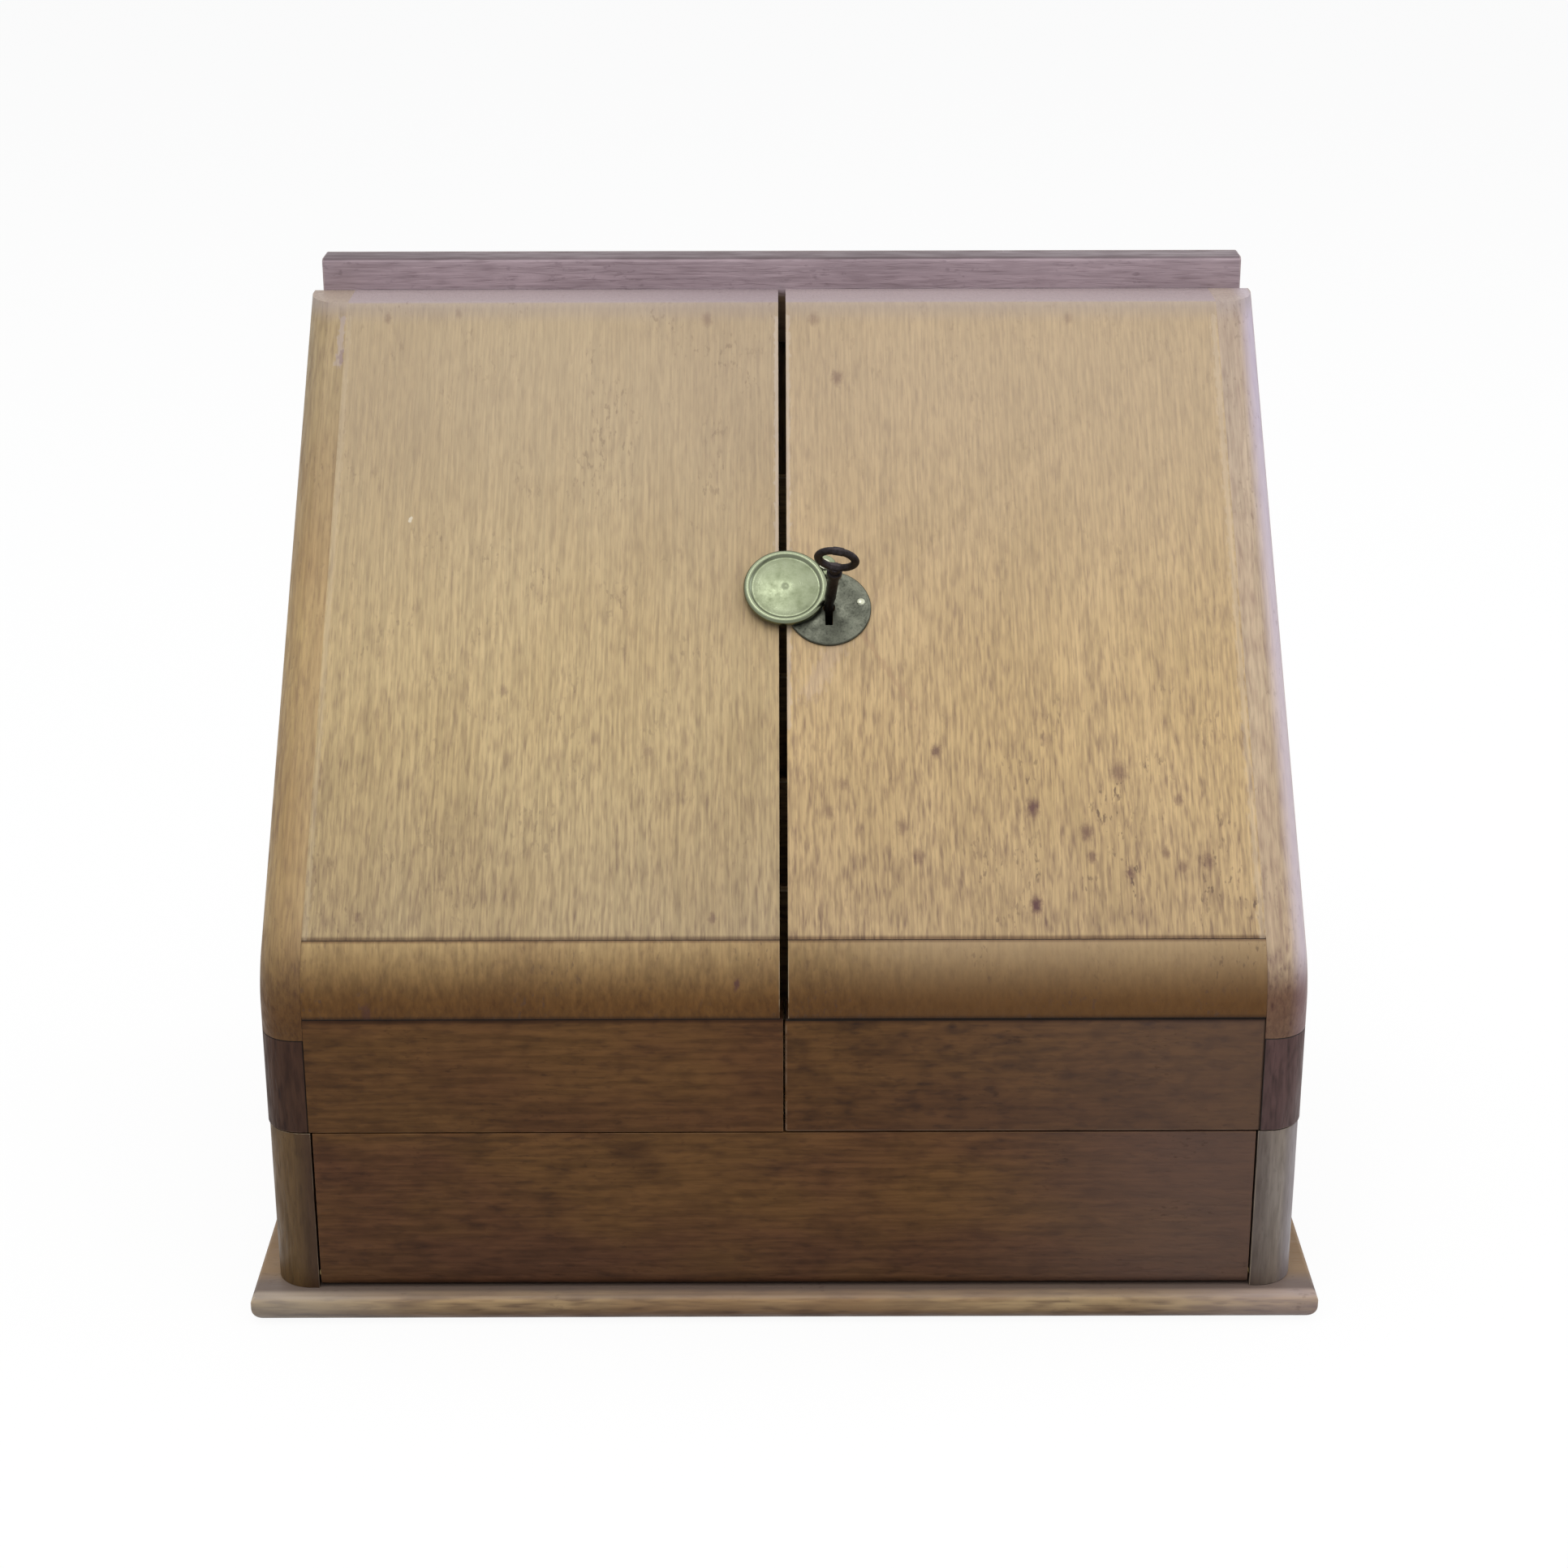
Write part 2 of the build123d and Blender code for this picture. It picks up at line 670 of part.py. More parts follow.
# ---- Butt hinges: frame leaves carry the outer knuckles, door leaves the middle one ----
for side, hand in sides:
    with BuildPart() as frame_leaves:
        for height in hinge_heights:
            with Locations((hand * frame_half, frame_front_y, height)):
                Box(
                    leaf_width,
                    leaf_thickness,
                    leaf_length,
                    align=(towards(hand), Align.MIN, Align.CENTER),
                )
            for offset in (-1, 1):
                knuckle_z = height + offset * (knuckle_length + knuckle_end_gap)
                with Locations((hand * hinge_axis_x, hinge_axis_y, knuckle_z)):
                    Cylinder(knuckle_radius, knuckle_length)
                with Locations((hand * hinge_axis_x, frame_front_y, knuckle_z)):
                    Box(
                        hinge_axis_x - frame_half + leaf_thickness,
                        leaf_thickness,
                        knuckle_length,
                        align=(towards(hand), Align.MIN, Align.CENTER),
                    )
            with Locations((hand * hinge_axis_x, hinge_axis_y, height)):
                Cylinder(bore_radius, leaf_length, mode=Mode.SUBTRACT)
        with Locations(*frame_leaf_planes(hand)):
            CounterSinkHole(
                screw_hole_radius, sink_radius, depth=leaf_thickness, counter_sink_angle=sink_angle
            )
    save(frame_leaves, f"hinge_frame_leaves_{side}")

    with BuildPart() as door_leaves:
        for height in hinge_heights:
            with Locations((hand * half_width, door_rear_y, height)):
                Box(
                    leaf_width,
                    leaf_thickness,
                    leaf_length,
                    align=(towards(hand), Align.MAX, Align.CENTER),
                )
            with Locations((hand * hinge_axis_x, hinge_axis_y, height)):
                Cylinder(knuckle_radius, knuckle_length)
            with Locations((hand * hinge_axis_x, door_rear_y, height)):
                Box(
                    hinge_axis_x - half_width + leaf_thickness,
                    leaf_thickness,
                    knuckle_length,
                    align=(towards(hand), Align.MAX, Align.CENTER),
                )
            with Locations((hand * hinge_axis_x, hinge_axis_y, height)):
                Cylinder(bore_radius, leaf_length, mode=Mode.SUBTRACT)
        with Locations(*door_leaf_planes(hand)):
            CounterSinkHole(
                screw_hole_radius, sink_radius, depth=leaf_thickness, counter_sink_angle=sink_angle
            )
    save(door_leaves, f"hinge_door_leaves_{side}")

    screws(f"hinge_frame_screws_{side}", frame_leaf_planes(hand))
    screws(f"hinge_door_screws_{side}", door_leaf_planes(hand))

with BuildPart() as hinge_pins:
    for side, hand in sides:
        for height in hinge_heights:
            with Locations((hand * hinge_axis_x, hinge_axis_y, height)):
                Cylinder(hinge_pin_radius, leaf_length)
            with Locations((hand * hinge_axis_x, hinge_axis_y, height + leaf_length / 2)):
                Cylinder(
                    hinge_pin_head_radius,
                    hinge_pin_head_height,
                    align=(Align.CENTER, Align.CENTER, Align.MIN),
                )
save(hinge_pins, "hinge_pins")


# ---- Letter rack: two cheeks that follow the slope, and scooped partitions in dadoes ----
def rack_line(y):
    """Height of the cheeks' sloping top at depth y, under the slope panels."""
    inner_slope = knee_z + (y - front_y) * tan(slope_rad) - door_thickness / cos(slope_rad)
    return inner_slope - rack_headroom


cheek_crest_y = rack_back_y - cheek_top_depth
partition_places = [first_partition_y + index * partition_pitch for index in range(partition_count)]

for side, hand in sides:
    with BuildPart() as cheek:
        with BuildSketch(Plane.YZ.offset(hand * cheek_inner)):
            with BuildLine():
                FilletPolyline(
                    (rack_front_y, deck_top_z),
                    (rack_front_y, rack_line(rack_front_y)),
                    (cheek_crest_y, rack_line(cheek_crest_y)),
                    (rack_back_y, rack_line(cheek_crest_y)),
                    radius=[cheek_front_radius, cheek_top_radius],
                )
                Polyline(
                    (rack_back_y, rack_line(cheek_crest_y)),
                    (rack_back_y, deck_top_z),
                    (rack_front_y, deck_top_z),
                )
            make_face()
        extrude(amount=hand * cheek_thickness)
        for place in partition_places:
            with Locations((hand * cheek_inner, place + partition_thickness / 2, deck_top_z)):
                Box(
                    2 * dado_depth,
                    partition_thickness + 2 * dado_play,
                    rack_line(place) - partition_drop + dado_play - deck_top_z,
                    align=(Align.CENTER, Align.CENTER, Align.MIN),
                    mode=Mode.SUBTRACT,
                )
    save(cheek, f"rack_cheek_{side}")

scoop_radius = (scoop_width**2 / 4 + scoop_depth**2) / (2 * scoop_depth)
for index, place in enumerate(partition_places):
    partition_top_z = rack_line(place) - partition_drop
    with BuildPart() as partition:
        with BuildSketch(Plane.XZ.offset(-place)):
            with Locations((0, deck_top_z)):
                Rectangle(
                    2 * (cheek_inner + dado_depth - dado_play),
                    partition_top_z - deck_top_z,
                    align=(Align.CENTER, Align.MIN),
                )
            with Locations((0, partition_top_z - scoop_depth + scoop_radius)):
                Circle(scoop_radius, mode=Mode.SUBTRACT)
        extrude(amount=-partition_thickness)
    save(partition, f"rack_partition_{index + 1}")

# ---- Pen tray: a routed trough in a solid block in front of the rack ----
with BuildPart() as trough:
    with BuildSketch(Plane.XY.offset(deck_top_z + tray_height - tray_trough_depth)):
        with Locations((0, rack_front_y - tray_depth / 2)):
            Rectangle(2 * (rack_half - tray_margin), tray_depth - 2 * tray_margin)
    extrude(amount=2 * tray_trough_depth)
    fillet(trough.edges().filter_by(Axis.Z), radius=tray_trough_round)
    fillet(trough.faces().sort_by(Axis.Z)[0].edges(), radius=tray_trough_bottom_round)

with BuildPart() as pen_tray:
    with BuildSketch(Plane.XY.offset(deck_top_z)):
        with Locations((0, rack_front_y)):
            Rectangle(2 * rack_half, tray_depth, align=(Align.CENTER, Align.MAX))
    extrude(amount=tray_height)
    fillet(pen_tray.faces().sort_by(Axis.Z)[-1].edges(), radius=tray_edge_round)
    add(trough.part, mode=Mode.SUBTRACT)
save(pen_tray, "pen_tray")

# ---- Escutcheon: a round brass plate with a lug for the swinging cover ----
with BuildPart() as escutcheon_plate:
    with BuildSketch(key_plane):
        Circle(plate_radius)
        with Locations((pivot_across, pivot_up)):
            Circle(lug_radius)
    extrude(amount=plate_thickness)
    chamfer(escutcheon_plate.faces().sort_by(key_axis)[-1].edges(), length=plate_bevel)
    with BuildSketch(key_plane):
        Circle(key_shank_radius + keyhole_play)
        Rectangle(keyhole_slot_width, keyhole_slot_reach, align=(Align.CENTER, Align.MAX))
        with Locations((pivot_across, pivot_up)):
            Circle(rivet_radius + screw_fit)
        with PolarLocations(plate_pin_spread, 2, start_angle=plate_pin_angle):
            Circle(plate_pin_radius + screw_fit)
    extrude(amount=plate_thickness, mode=Mode.SUBTRACT)
save(escutcheon_plate, "escutcheon_plate")

with BuildPart() as escutcheon_pins:
    with BuildSketch(key_plane.offset(-plate_pin_length)):
        with PolarLocations(plate_pin_spread, 2, start_angle=plate_pin_angle):
            Circle(plate_pin_radius)
    extrude(amount=plate_pin_length + plate_thickness)
    with BuildSketch(key_plane.offset(plate_thickness)):
        with PolarLocations(plate_pin_spread, 2, start_angle=plate_pin_angle):
            Circle(plate_pin_head_radius)
    extrude(amount=plate_pin_head_height, taper=plate_pin_head_taper)
save(escutcheon_pins, "escutcheon_pins")

# ---- Keyhole cover: swung aside, it leans on the key's shank ----
cover_under = plate_thickness + plate_pin_head_height + cover_lift
pivot_distance = (pivot_across**2 + pivot_up**2) ** 0.5
rest_distance = cover_radius + key_shank_radius + cover_key_gap
swing_from_key = acos(
    (pivot_distance**2 + cover_arm**2 - rest_distance**2) / (2 * pivot_distance * cover_arm)
)
key_direction = atan2(-pivot_up, -pivot_across)
cover_direction = key_direction - swing_from_key
cover_across = pivot_across + cover_arm * cos(cover_direction)
cover_up = pivot_up + cover_arm * sin(cover_direction)
cover_plane = Plane(
    origin=key_plane.from_local_coords((cover_across, cover_up, cover_under)),
    x_dir=key_plane.x_dir,
    z_dir=key_plane.z_dir,
)
rim_inner = cover_radius - cover_rim_width
with BuildPart() as keyhole_cover:
    with BuildSketch(Plane(cover_plane.origin, x_dir=cover_plane.x_dir, z_dir=-cover_plane.y_dir)):
        with BuildLine():
            Polyline((0, cover_wall), (0, cover_height - cover_dish_depth + cover_wall))
            ThreePointArc(
                (0, cover_height - cover_dish_depth + cover_wall),
                (rim_inner / 2**0.5, cover_height - cover_dish_depth + cover_wall / 2),
                (rim_inner, cover_height - cover_dish_depth),
            )
            ThreePointArc(
                (rim_inner, cover_height - cover_dish_depth),
                (rim_inner + cover_rim_width / 2, cover_height),
                (cover_radius, cover_height - cover_dish_depth),
            )
            Polyline(
                (cover_radius, cover_height - cover_dish_depth),
                (cover_radius, 0),
                (cover_radius - cover_wall, 0),
                (cover_radius - cover_wall, cover_height - cover_dish_depth - cover_wall),
                (cover_radius - cover_wall - cover_rim_width, cover_wall),
                (0, cover_wall),
            )
        make_face()
    revolve(axis=Axis(cover_plane.origin, cover_plane.z_dir))
    cover_crown = cover_height - cover_dish_depth + cover_wall
    with Locations(cover_plane.offset(cover_crown + cover_dimple_radius - cover_dimple_depth)):
        Sphere(cover_dimple_radius, mode=Mode.SUBTRACT)
    with BuildSketch(key_plane.offset(cover_under)):
        with Locations((pivot_across, pivot_up)):
            Circle(lug_radius)
    extrude(amount=cover_height - cover_dish_depth)
    with BuildSketch(key_plane.offset(cover_under)):
        with Locations((pivot_across, pivot_up)):
            Circle(rivet_radius + running_fit)
    extrude(amount=cover_height, mode=Mode.SUBTRACT)
    with BuildSketch(key_plane.offset(cover_under + cover_height - cover_dish_depth)):
        with Locations((pivot_across, pivot_up)):
            Circle(rivet_head_radius + running_fit)
    extrude(amount=cover_height, mode=Mode.SUBTRACT)
save(keyhole_cover, "keyhole_cover")

# The rivet's shoulder on the plate carries the cover; its shank runs into the door.
cover_top = cover_under + cover_height - cover_dish_depth
with BuildPart() as cover_rivet:
    with BuildSketch(key_plane.offset(-rivet_length)):
        with Locations((pivot_across, pivot_up)):
            Circle(rivet_radius)
    extrude(amount=rivet_length + cover_top + running_fit)
    with BuildSketch(key_plane.offset(plate_thickness)):
        with Locations((pivot_across, pivot_up)):
            Circle(rivet_head_radius)
    extrude(amount=cover_under - plate_thickness - running_fit)
    with BuildSketch(key_plane.offset(cover_top + running_fit)):
        with Locations((pivot_across, pivot_up)):
            Circle(rivet_head_radius)
    extrude(amount=rivet_head_height, taper=rivet_head_taper)
save(cover_rivet, "cover_rivet")

# ---- Key: round shank, oval bow, collar and a flat bit that points down at rest ----
bow_centre = key_shank_out + bow_half_height
bit_top = case_inner - case_wall - bolt_play
with BuildPart() as key:
    with BuildSketch(key_plane.offset(case_back)):
        Circle(key_tip_radius)
    extrude(amount=case_depth)
    with BuildSketch(key_plane.offset(case_back + case_wall + bolt_play)):
        Circle(key_shank_radius)
    extrude(amount=key_shank_out - case_back - case_wall - bolt_play)
    with BuildSketch(key_plane.offset(bit_top - bit_width)):
        Rectangle(bit_thickness, bit_reach, align=(Align.CENTER, Align.MAX))
    extrude(amount=bit_width)
    with BuildSketch(key_plane.offset(key_shank_out - collar_setback - collar_length)):
        Circle(collar_radius)
    extrude(amount=collar_length)
    bow_origin = key_plane.from_local_coords((0, 0, bow_centre))
    with BuildLine(Plane(bow_origin, x_dir=key_plane.x_dir, z_dir=key_plane.y_dir)) as bow_line:
        EllipticalCenterArc((0, 0), bow_half_width, bow_half_height, arc_size=360)
    with BuildSketch(Plane(bow_line.line @ 0, x_dir=key_plane.x_dir, z_dir=bow_line.line % 0)):
        Ellipse(bow_wire_half_width, bow_wire_half_thickness)
    sweep(path=bow_line.line)
save(key, "key")

# ---- Lock case: a shallow brass box, screwed by its flanges to the right door's inner face ----
with BuildPart() as lock_case:
    with BuildSketch(key_plane.offset(case_inner)):
        with Locations((case_mid_across, case_mid_up)):
            Rectangle(case_width, case_height)
    extrude(amount=-case_depth)
    with BuildSketch(key_plane.offset(case_inner)):
        with Locations((case_mid_across, case_mid_up)):
            Rectangle(case_width - 2 * case_wall, case_height - 2 * case_wall)
    extrude(amount=-(case_depth - case_wall), mode=Mode.SUBTRACT)
    with BuildSketch(key_plane.offset(case_inner)):
        with Locations((case_mid_across, case_mid_up)):
            Rectangle(case_width, case_height + 2 * case_flange)
            Rectangle(case_width - 2 * case_wall, case_height - 2 * case_wall, mode=Mode.SUBTRACT)
    extrude(amount=-case_wall)
    with BuildSketch(key_plane.offset(case_back)):
        Circle(key_tip_radius + running_fit)
    extrude(amount=case_wall, mode=Mode.SUBTRACT)
    with BuildSketch(key_plane.offset(bit_top + bolt_play)):
        with Locations((case_left, bolt_above_key - bolt_play)):
            Rectangle(
                case_wall,
                bolt_bar_height + 2 * bolt_play,
                align=(Align.MIN, Align.MIN),
            )
    extrude(amount=-(bolt_thickness + 2 * bolt_play), mode=Mode.SUBTRACT)
    with Locations(*lock_screw_planes):
        CounterSinkHole(screw_hole_radius, sink_radius, depth=case_wall, counter_sink_angle=sink_angle)
save(lock_case, "lock_case")
screws("lock_screws", lock_screw_planes)

# ---- Lock bolt: a bar through the case's edge, with a finger that the key's bit pushes ----
with BuildPart() as lock_bolt:
    with BuildSketch(key_plane.offset(bit_top)):
        with Locations((bolt_nose, bolt_above_key)):
            Rectangle(bolt_tail - bolt_nose, bolt_bar_height, align=(Align.MIN, Align.MIN))
        with Locations((-bolt_finger_clearance, bolt_above_key)):
            Rectangle(
                bolt_finger_width,
                bolt_above_key + bolt_finger_drop,
                align=(Align.MAX, Align.MAX),
            )
    extrude(amount=-bolt_thickness)
save(lock_bolt, "lock_bolt")

# ---- Keeper: a brass box staple on the left door that takes the bolt ----
keeper_under = bit_top + keeper_play
keeper_cavity_depth = bolt_thickness + 2 * keeper_play
keeper_out = keeper_under - keeper_cavity_depth - keeper_wall
with BuildPart() as lock_keeper:
    with BuildSketch(key_plane.offset(case_inner)):
        with Locations((keeper_mid, keeper_mid_up)):
            Rectangle(keeper_length, keeper_height)
    extrude(amount=-(case_inner - keeper_out))
    with BuildSketch(key_plane.offset(keeper_under)):
        with Locations((keeper_right, keeper_mid_up)):
            Rectangle(
                keeper_length - keeper_wall,
                keeper_cavity_height,
                align=(Align.MAX, Align.CENTER),
            )
    extrude(amount=-keeper_cavity_depth, mode=Mode.SUBTRACT)
    with BuildSketch(key_plane.offset(case_inner)):
        with Locations((keeper_mid, keeper_mid_up)):
            Rectangle(keeper_length, keeper_height + 2 * keeper_flange)
            Rectangle(keeper_length, keeper_height, mode=Mode.SUBTRACT)
    extrude(amount=-case_wall)
    with Locations(*keeper_screw_planes):
        CounterSinkHole(screw_hole_radius, sink_radius, depth=case_wall, counter_sink_angle=sink_angle)
save(lock_keeper, "lock_keeper")
screws("keeper_screws", keeper_screw_planes)

# ---- Slide bolt: a brass bar in two loops on the left frieze, shooting down into the deck ----
loop_height = slide_bar_thickness + 2 * slide_bar_play + slide_loop_wall
slide_plate_face_y = door_inner_y + slide_plate_thickness
with BuildPart() as slide_bolt_plate:
    with BuildSketch(Plane.XZ.offset(-slide_plate_face_y)):
        with Locations((-slide_bolt_offset, slide_plate_bottom_z)):
            Rectangle(slide_plate_width, slide_plate_length, align=(Align.CENTER, Align.MIN))
    extrude(amount=slide_plate_thickness)
    for end in (-1, 1):
        loop_mid_z = slide_plate_mid_z + end * (slide_plate_length / 2 - slide_loop_inset)
        with Locations((-slide_bolt_offset, slide_plate_face_y, loop_mid_z)):
            Box(
                slide_bar_width + 2 * (slide_bar_play + slide_loop_wall),
                loop_height,
                slide_loop_height,
                align=(Align.CENTER, Align.MIN, Align.CENTER),
            )
            Box(
                slide_bar_width + 2 * slide_bar_play,
                slide_bar_thickness + 2 * slide_bar_play,
                slide_loop_height,
                align=(Align.CENTER, Align.MIN, Align.CENTER),
                mode=Mode.SUBTRACT,
            )
    with Locations(*slide_screw_planes):
        CounterSinkHole(
            screw_hole_radius, sink_radius, depth=slide_plate_thickness, counter_sink_angle=sink_angle
        )
save(slide_bolt_plate, "slide_bolt_plate")
screws("slide_bolt_screws", slide_screw_planes)

with BuildPart() as slide_bolt:
    with Locations((-slide_bolt_offset, slide_bar_mid_y, door_bottom_z + slide_bar_end_gap)):
        Box(
            slide_bar_width,
            slide_bar_thickness,
            slide_bar_length,
            align=(Align.CENTER, Align.CENTER, Align.MIN),
        )
    with BuildSketch(Plane.XZ.offset(-(slide_bar_mid_y + slide_bar_thickness / 2))):
        with Locations((-slide_bolt_offset, slide_plate_mid_z)):
            Circle(slide_knob_radius)
    extrude(amount=-slide_knob_height, taper=-slide_knob_flare)
save(slide_bolt, "slide_bolt")
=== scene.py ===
import bpy
import bmesh
import json
import math
from mathutils import Matrix, Quaternion, Vector
from mathutils.bvhtree import BVHTree


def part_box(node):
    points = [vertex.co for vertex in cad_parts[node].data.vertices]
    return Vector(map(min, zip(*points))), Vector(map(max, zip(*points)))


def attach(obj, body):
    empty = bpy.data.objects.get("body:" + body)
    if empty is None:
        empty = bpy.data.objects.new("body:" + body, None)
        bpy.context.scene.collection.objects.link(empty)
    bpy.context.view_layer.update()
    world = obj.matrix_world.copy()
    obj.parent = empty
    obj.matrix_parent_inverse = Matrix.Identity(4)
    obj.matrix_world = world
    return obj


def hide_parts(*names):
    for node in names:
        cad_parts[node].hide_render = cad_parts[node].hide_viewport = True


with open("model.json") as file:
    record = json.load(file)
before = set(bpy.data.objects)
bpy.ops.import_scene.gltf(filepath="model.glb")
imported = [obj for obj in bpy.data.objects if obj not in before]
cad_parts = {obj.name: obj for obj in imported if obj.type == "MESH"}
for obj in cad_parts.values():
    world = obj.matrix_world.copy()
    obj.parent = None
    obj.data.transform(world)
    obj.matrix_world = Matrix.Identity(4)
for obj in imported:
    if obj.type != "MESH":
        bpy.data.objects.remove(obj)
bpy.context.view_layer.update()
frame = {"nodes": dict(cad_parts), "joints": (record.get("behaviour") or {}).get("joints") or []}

# ---- Base board ----
# One solid oak board, its edge moulded with a small round over a quarter round and rubbed pale
# along the nose. The box stands on it; its grain runs from side to side. Shade is painted on its top in
# the corner before the fall front and under its nose, and a greyer painted sheen lies on its top face
# and ends.


def add_node(tree, kind, inputs=None, **settings):
    """One node of a tree: settings first, then values or links on its sockets."""
    made = tree.nodes.new(kind)
    for key, value in settings.items():
        setattr(made, key, value)
    for key, value in (inputs or {}).items():
        if isinstance(value, bpy.types.NodeSocket):
            tree.links.new(value, made.inputs[key])
        else:
            made.inputs[key].default_value = value
    return made


def maths(tree, operation, *values, **settings):
    """Result of one sum on numbers or number sockets."""
    inputs = dict(enumerate(values))
    return add_node(tree, "ShaderNodeMath", inputs, operation=operation, **settings).outputs[0]


def vector_maths(tree, operation, *values, output="Vector"):
    """Result of one sum on vectors or vector sockets."""
    inputs = dict(enumerate(values))
    return add_node(tree, "ShaderNodeVectorMath", inputs, operation=operation).outputs[output]


def new_finish(name):
    """A material, and its tree with nothing in it."""
    material = bpy.data.materials.new(name)
    material.use_nodes = True
    material.node_tree.nodes.clear()
    return material, material.node_tree


GRAIN_ACROSS = (0.0, math.radians(-90), 0.0)
GRAIN_UPRIGHT = (0.0, 0.0, 0.0)
GRAIN_BACKWARDS = (math.radians(90), 0.0, 0.0)


def oak(
    name,
    turn,
    light,
    deep,
    pore,
    shift,
    pores=0.8,
    across=2.0,
    along=10.0,
    lines=0.1,
    flecks=0.3,
    swarm=None,
    fade=None,
    rubbed=(0.5, 0.4, 0.28),
    rub=0.5,
    gloss=0.2,
    roughness=0.46,
    origin=(0.0, 0.0, 0.0),
    stains_and_painted_light=(),
    spots=(),
    strokes=(),
):
    """Waxed oak. Its pattern is worked in millimetres, with the grain along the turned Z axis.

    Pores thin out between the two heights of fade, in metres. Flecks gather about the swarm, which is a
    place across and along the grain and a reach. A stain, or a layer of painted light or shade, is its
    blend, its axis, where it starts and where it is full, in metres, its tint and its amount. A spot is
    its place across and along the grain, its radius and its strength. A stroke is its two ends, its reach
    to either side, its tint and its amount.
    """
    material, tree = new_finish(name)
    place = add_node(tree, "ShaderNodeTexCoord").outputs["Object"]
    axes = add_node(tree, "ShaderNodeSeparateXYZ", {0: place}).outputs
    to_grain = {"Location": [-value for value in origin], "Rotation": turn, "Scale": (1000, 1000, 1000)}
    turned = add_node(tree, "ShaderNodeMapping", {"Vector": place, **to_grain}).outputs["Vector"]
    pattern = vector_maths(tree, "ADD", turned, shift)

    def noise(vector, size, detail, rough=0.5, output="Fac"):
        """Noise whose grains measure size: across the grain, through the board and along the grain."""
        stretched = vector_maths(tree, "MULTIPLY", vector, [1 / part for part in size])
        settings = {"Vector": stretched, "Scale": 1.0, "Detail": detail, "Roughness": rough}
        return add_node(tree, "ShaderNodeTexNoise", settings).outputs[output]

    def between(value, low, high, to_low=0.0, to_high=1.0):
        """Value brought from low..high to to_low..to_high, smoothly and with ends held."""
        limits = {"Value": value, 1: low, 2: high, 3: to_low, 4: to_high}
        return add_node(
            tree, "ShaderNodeMapRange", limits, interpolation_type="SMOOTHSTEP", clamp=True
        ).outputs["Result"]

    def times(first, second):
        return maths(tree, "MULTIPLY", first, second)

    def blended(factor, first, second, blend="MIX"):
        """The second colour laid over the first, as strongly as factor says."""
        colours = {0: factor, 6: first, 7: second}
        return add_node(
            tree, "ShaderNodeMix", colours, data_type="RGBA", blend_type=blend, clamp_factor=True
        ).outputs[2]

    def distance(vector, centre):
        return vector_maths(tree, "DISTANCE", vector, centre, output="Value")

    drift = vector_maths(tree, "MULTIPLY", noise(pattern, (30, 30, 70), 2.0, output="Color"), (2.2, 2.2, 0.0))
    wavy = vector_maths(tree, "ADD", pattern, drift)
    broad = between(noise(pattern, (34, 34, 90), 3.0), 0.34, 0.66)
    streaks = noise(wavy, (across, across * 1.6, along), 1.5, 0.45)
    hair = noise(wavy, (across * 0.6, across, along * 4.0), 2.0, 0.6)
    vessels = between(noise(wavy, (across * 0.5, across * 0.7, along * 0.7), 1.0), 0.5, 0.72)
    crowd = between(noise(wavy, (across * 6.0, across * 6.0, along * 5.0), 2.0), 0.34, 0.66, 0.72, 1.0)
    soft = add_node(tree, "ShaderNodeMapRange", {"Value": streaks, 1: 0.42, 2: 0.82}, clamp=True).outputs[0]
    marked = maths(tree, "MULTIPLY_ADD", vessels, 0.42, soft)
    marked = times(times(marked, crowd), pores)
    if fade:
        marked = times(marked, between(axes[2], fade[0], fade[1], 1.0, 0.6))

    colour = blended(broad, light + (1,), deep + (1,))
    fine = between(hair, 0.3, 0.7, 1.0 + lines, 1.0 - lines)
    fine = add_node(tree, "ShaderNodeCombineXYZ", {0: fine, 1: fine, 2: fine}).outputs[0]
    colour = blended(1.0, colour, fine, "MULTIPLY")
    colour = blended(marked, colour, pore + (1,))
    for blend, axis, start, full, tint, amount in stains_and_painted_light:
        colour = blended(times(between(axes[axis], start, full), amount), colour, tint + (1,), blend)

    gather = between(noise(pattern, (16, 16, 26), 2.0), 0.46, 0.68)
    if swarm:
        swarm_across, swarm_along, swarm_reach = swarm
        away = distance(turned, (swarm_across, 0.0, swarm_along))
        gather = times(gather, between(away, swarm_reach, swarm_reach * 0.3, 0.2, 1.0))
    darts = times(between(noise(wavy, (1.5, 2.0, 3.6), 2.0), 0.58, 0.7), gather)
    colour = blended(times(darts, flecks), colour, [part * 0.6 for part in pore] + [1])

    if spots:
        fray = 4.0
        squash = 0.62
        ragged = noise(turned, (1.8, 1.8, 2.6), 3.0, 0.65, output="Color")
        frayed = vector_maths(tree, "ADD", turned, vector_maths(tree, "MULTIPLY", ragged, (fray, 0.0, fray)))
        frayed = vector_maths(tree, "MULTIPLY", frayed, (1.0, 0.0, squash))
        blot = 0.0
        for spot_across, spot_along, radius, strength in spots:
            centre = (spot_across + fray / 2, 0.0, (spot_along + fray / 2) * squash)
            core = between(distance(frayed, centre), radius * 1.5, radius * 0.2, 0.0, strength)
            blot = maths(tree, "MAXIMUM", blot, core)
        colour = blended(blot, colour, (pore[0] * 0.6, pore[1] * 0.42, pore[2] * 0.6, 1))

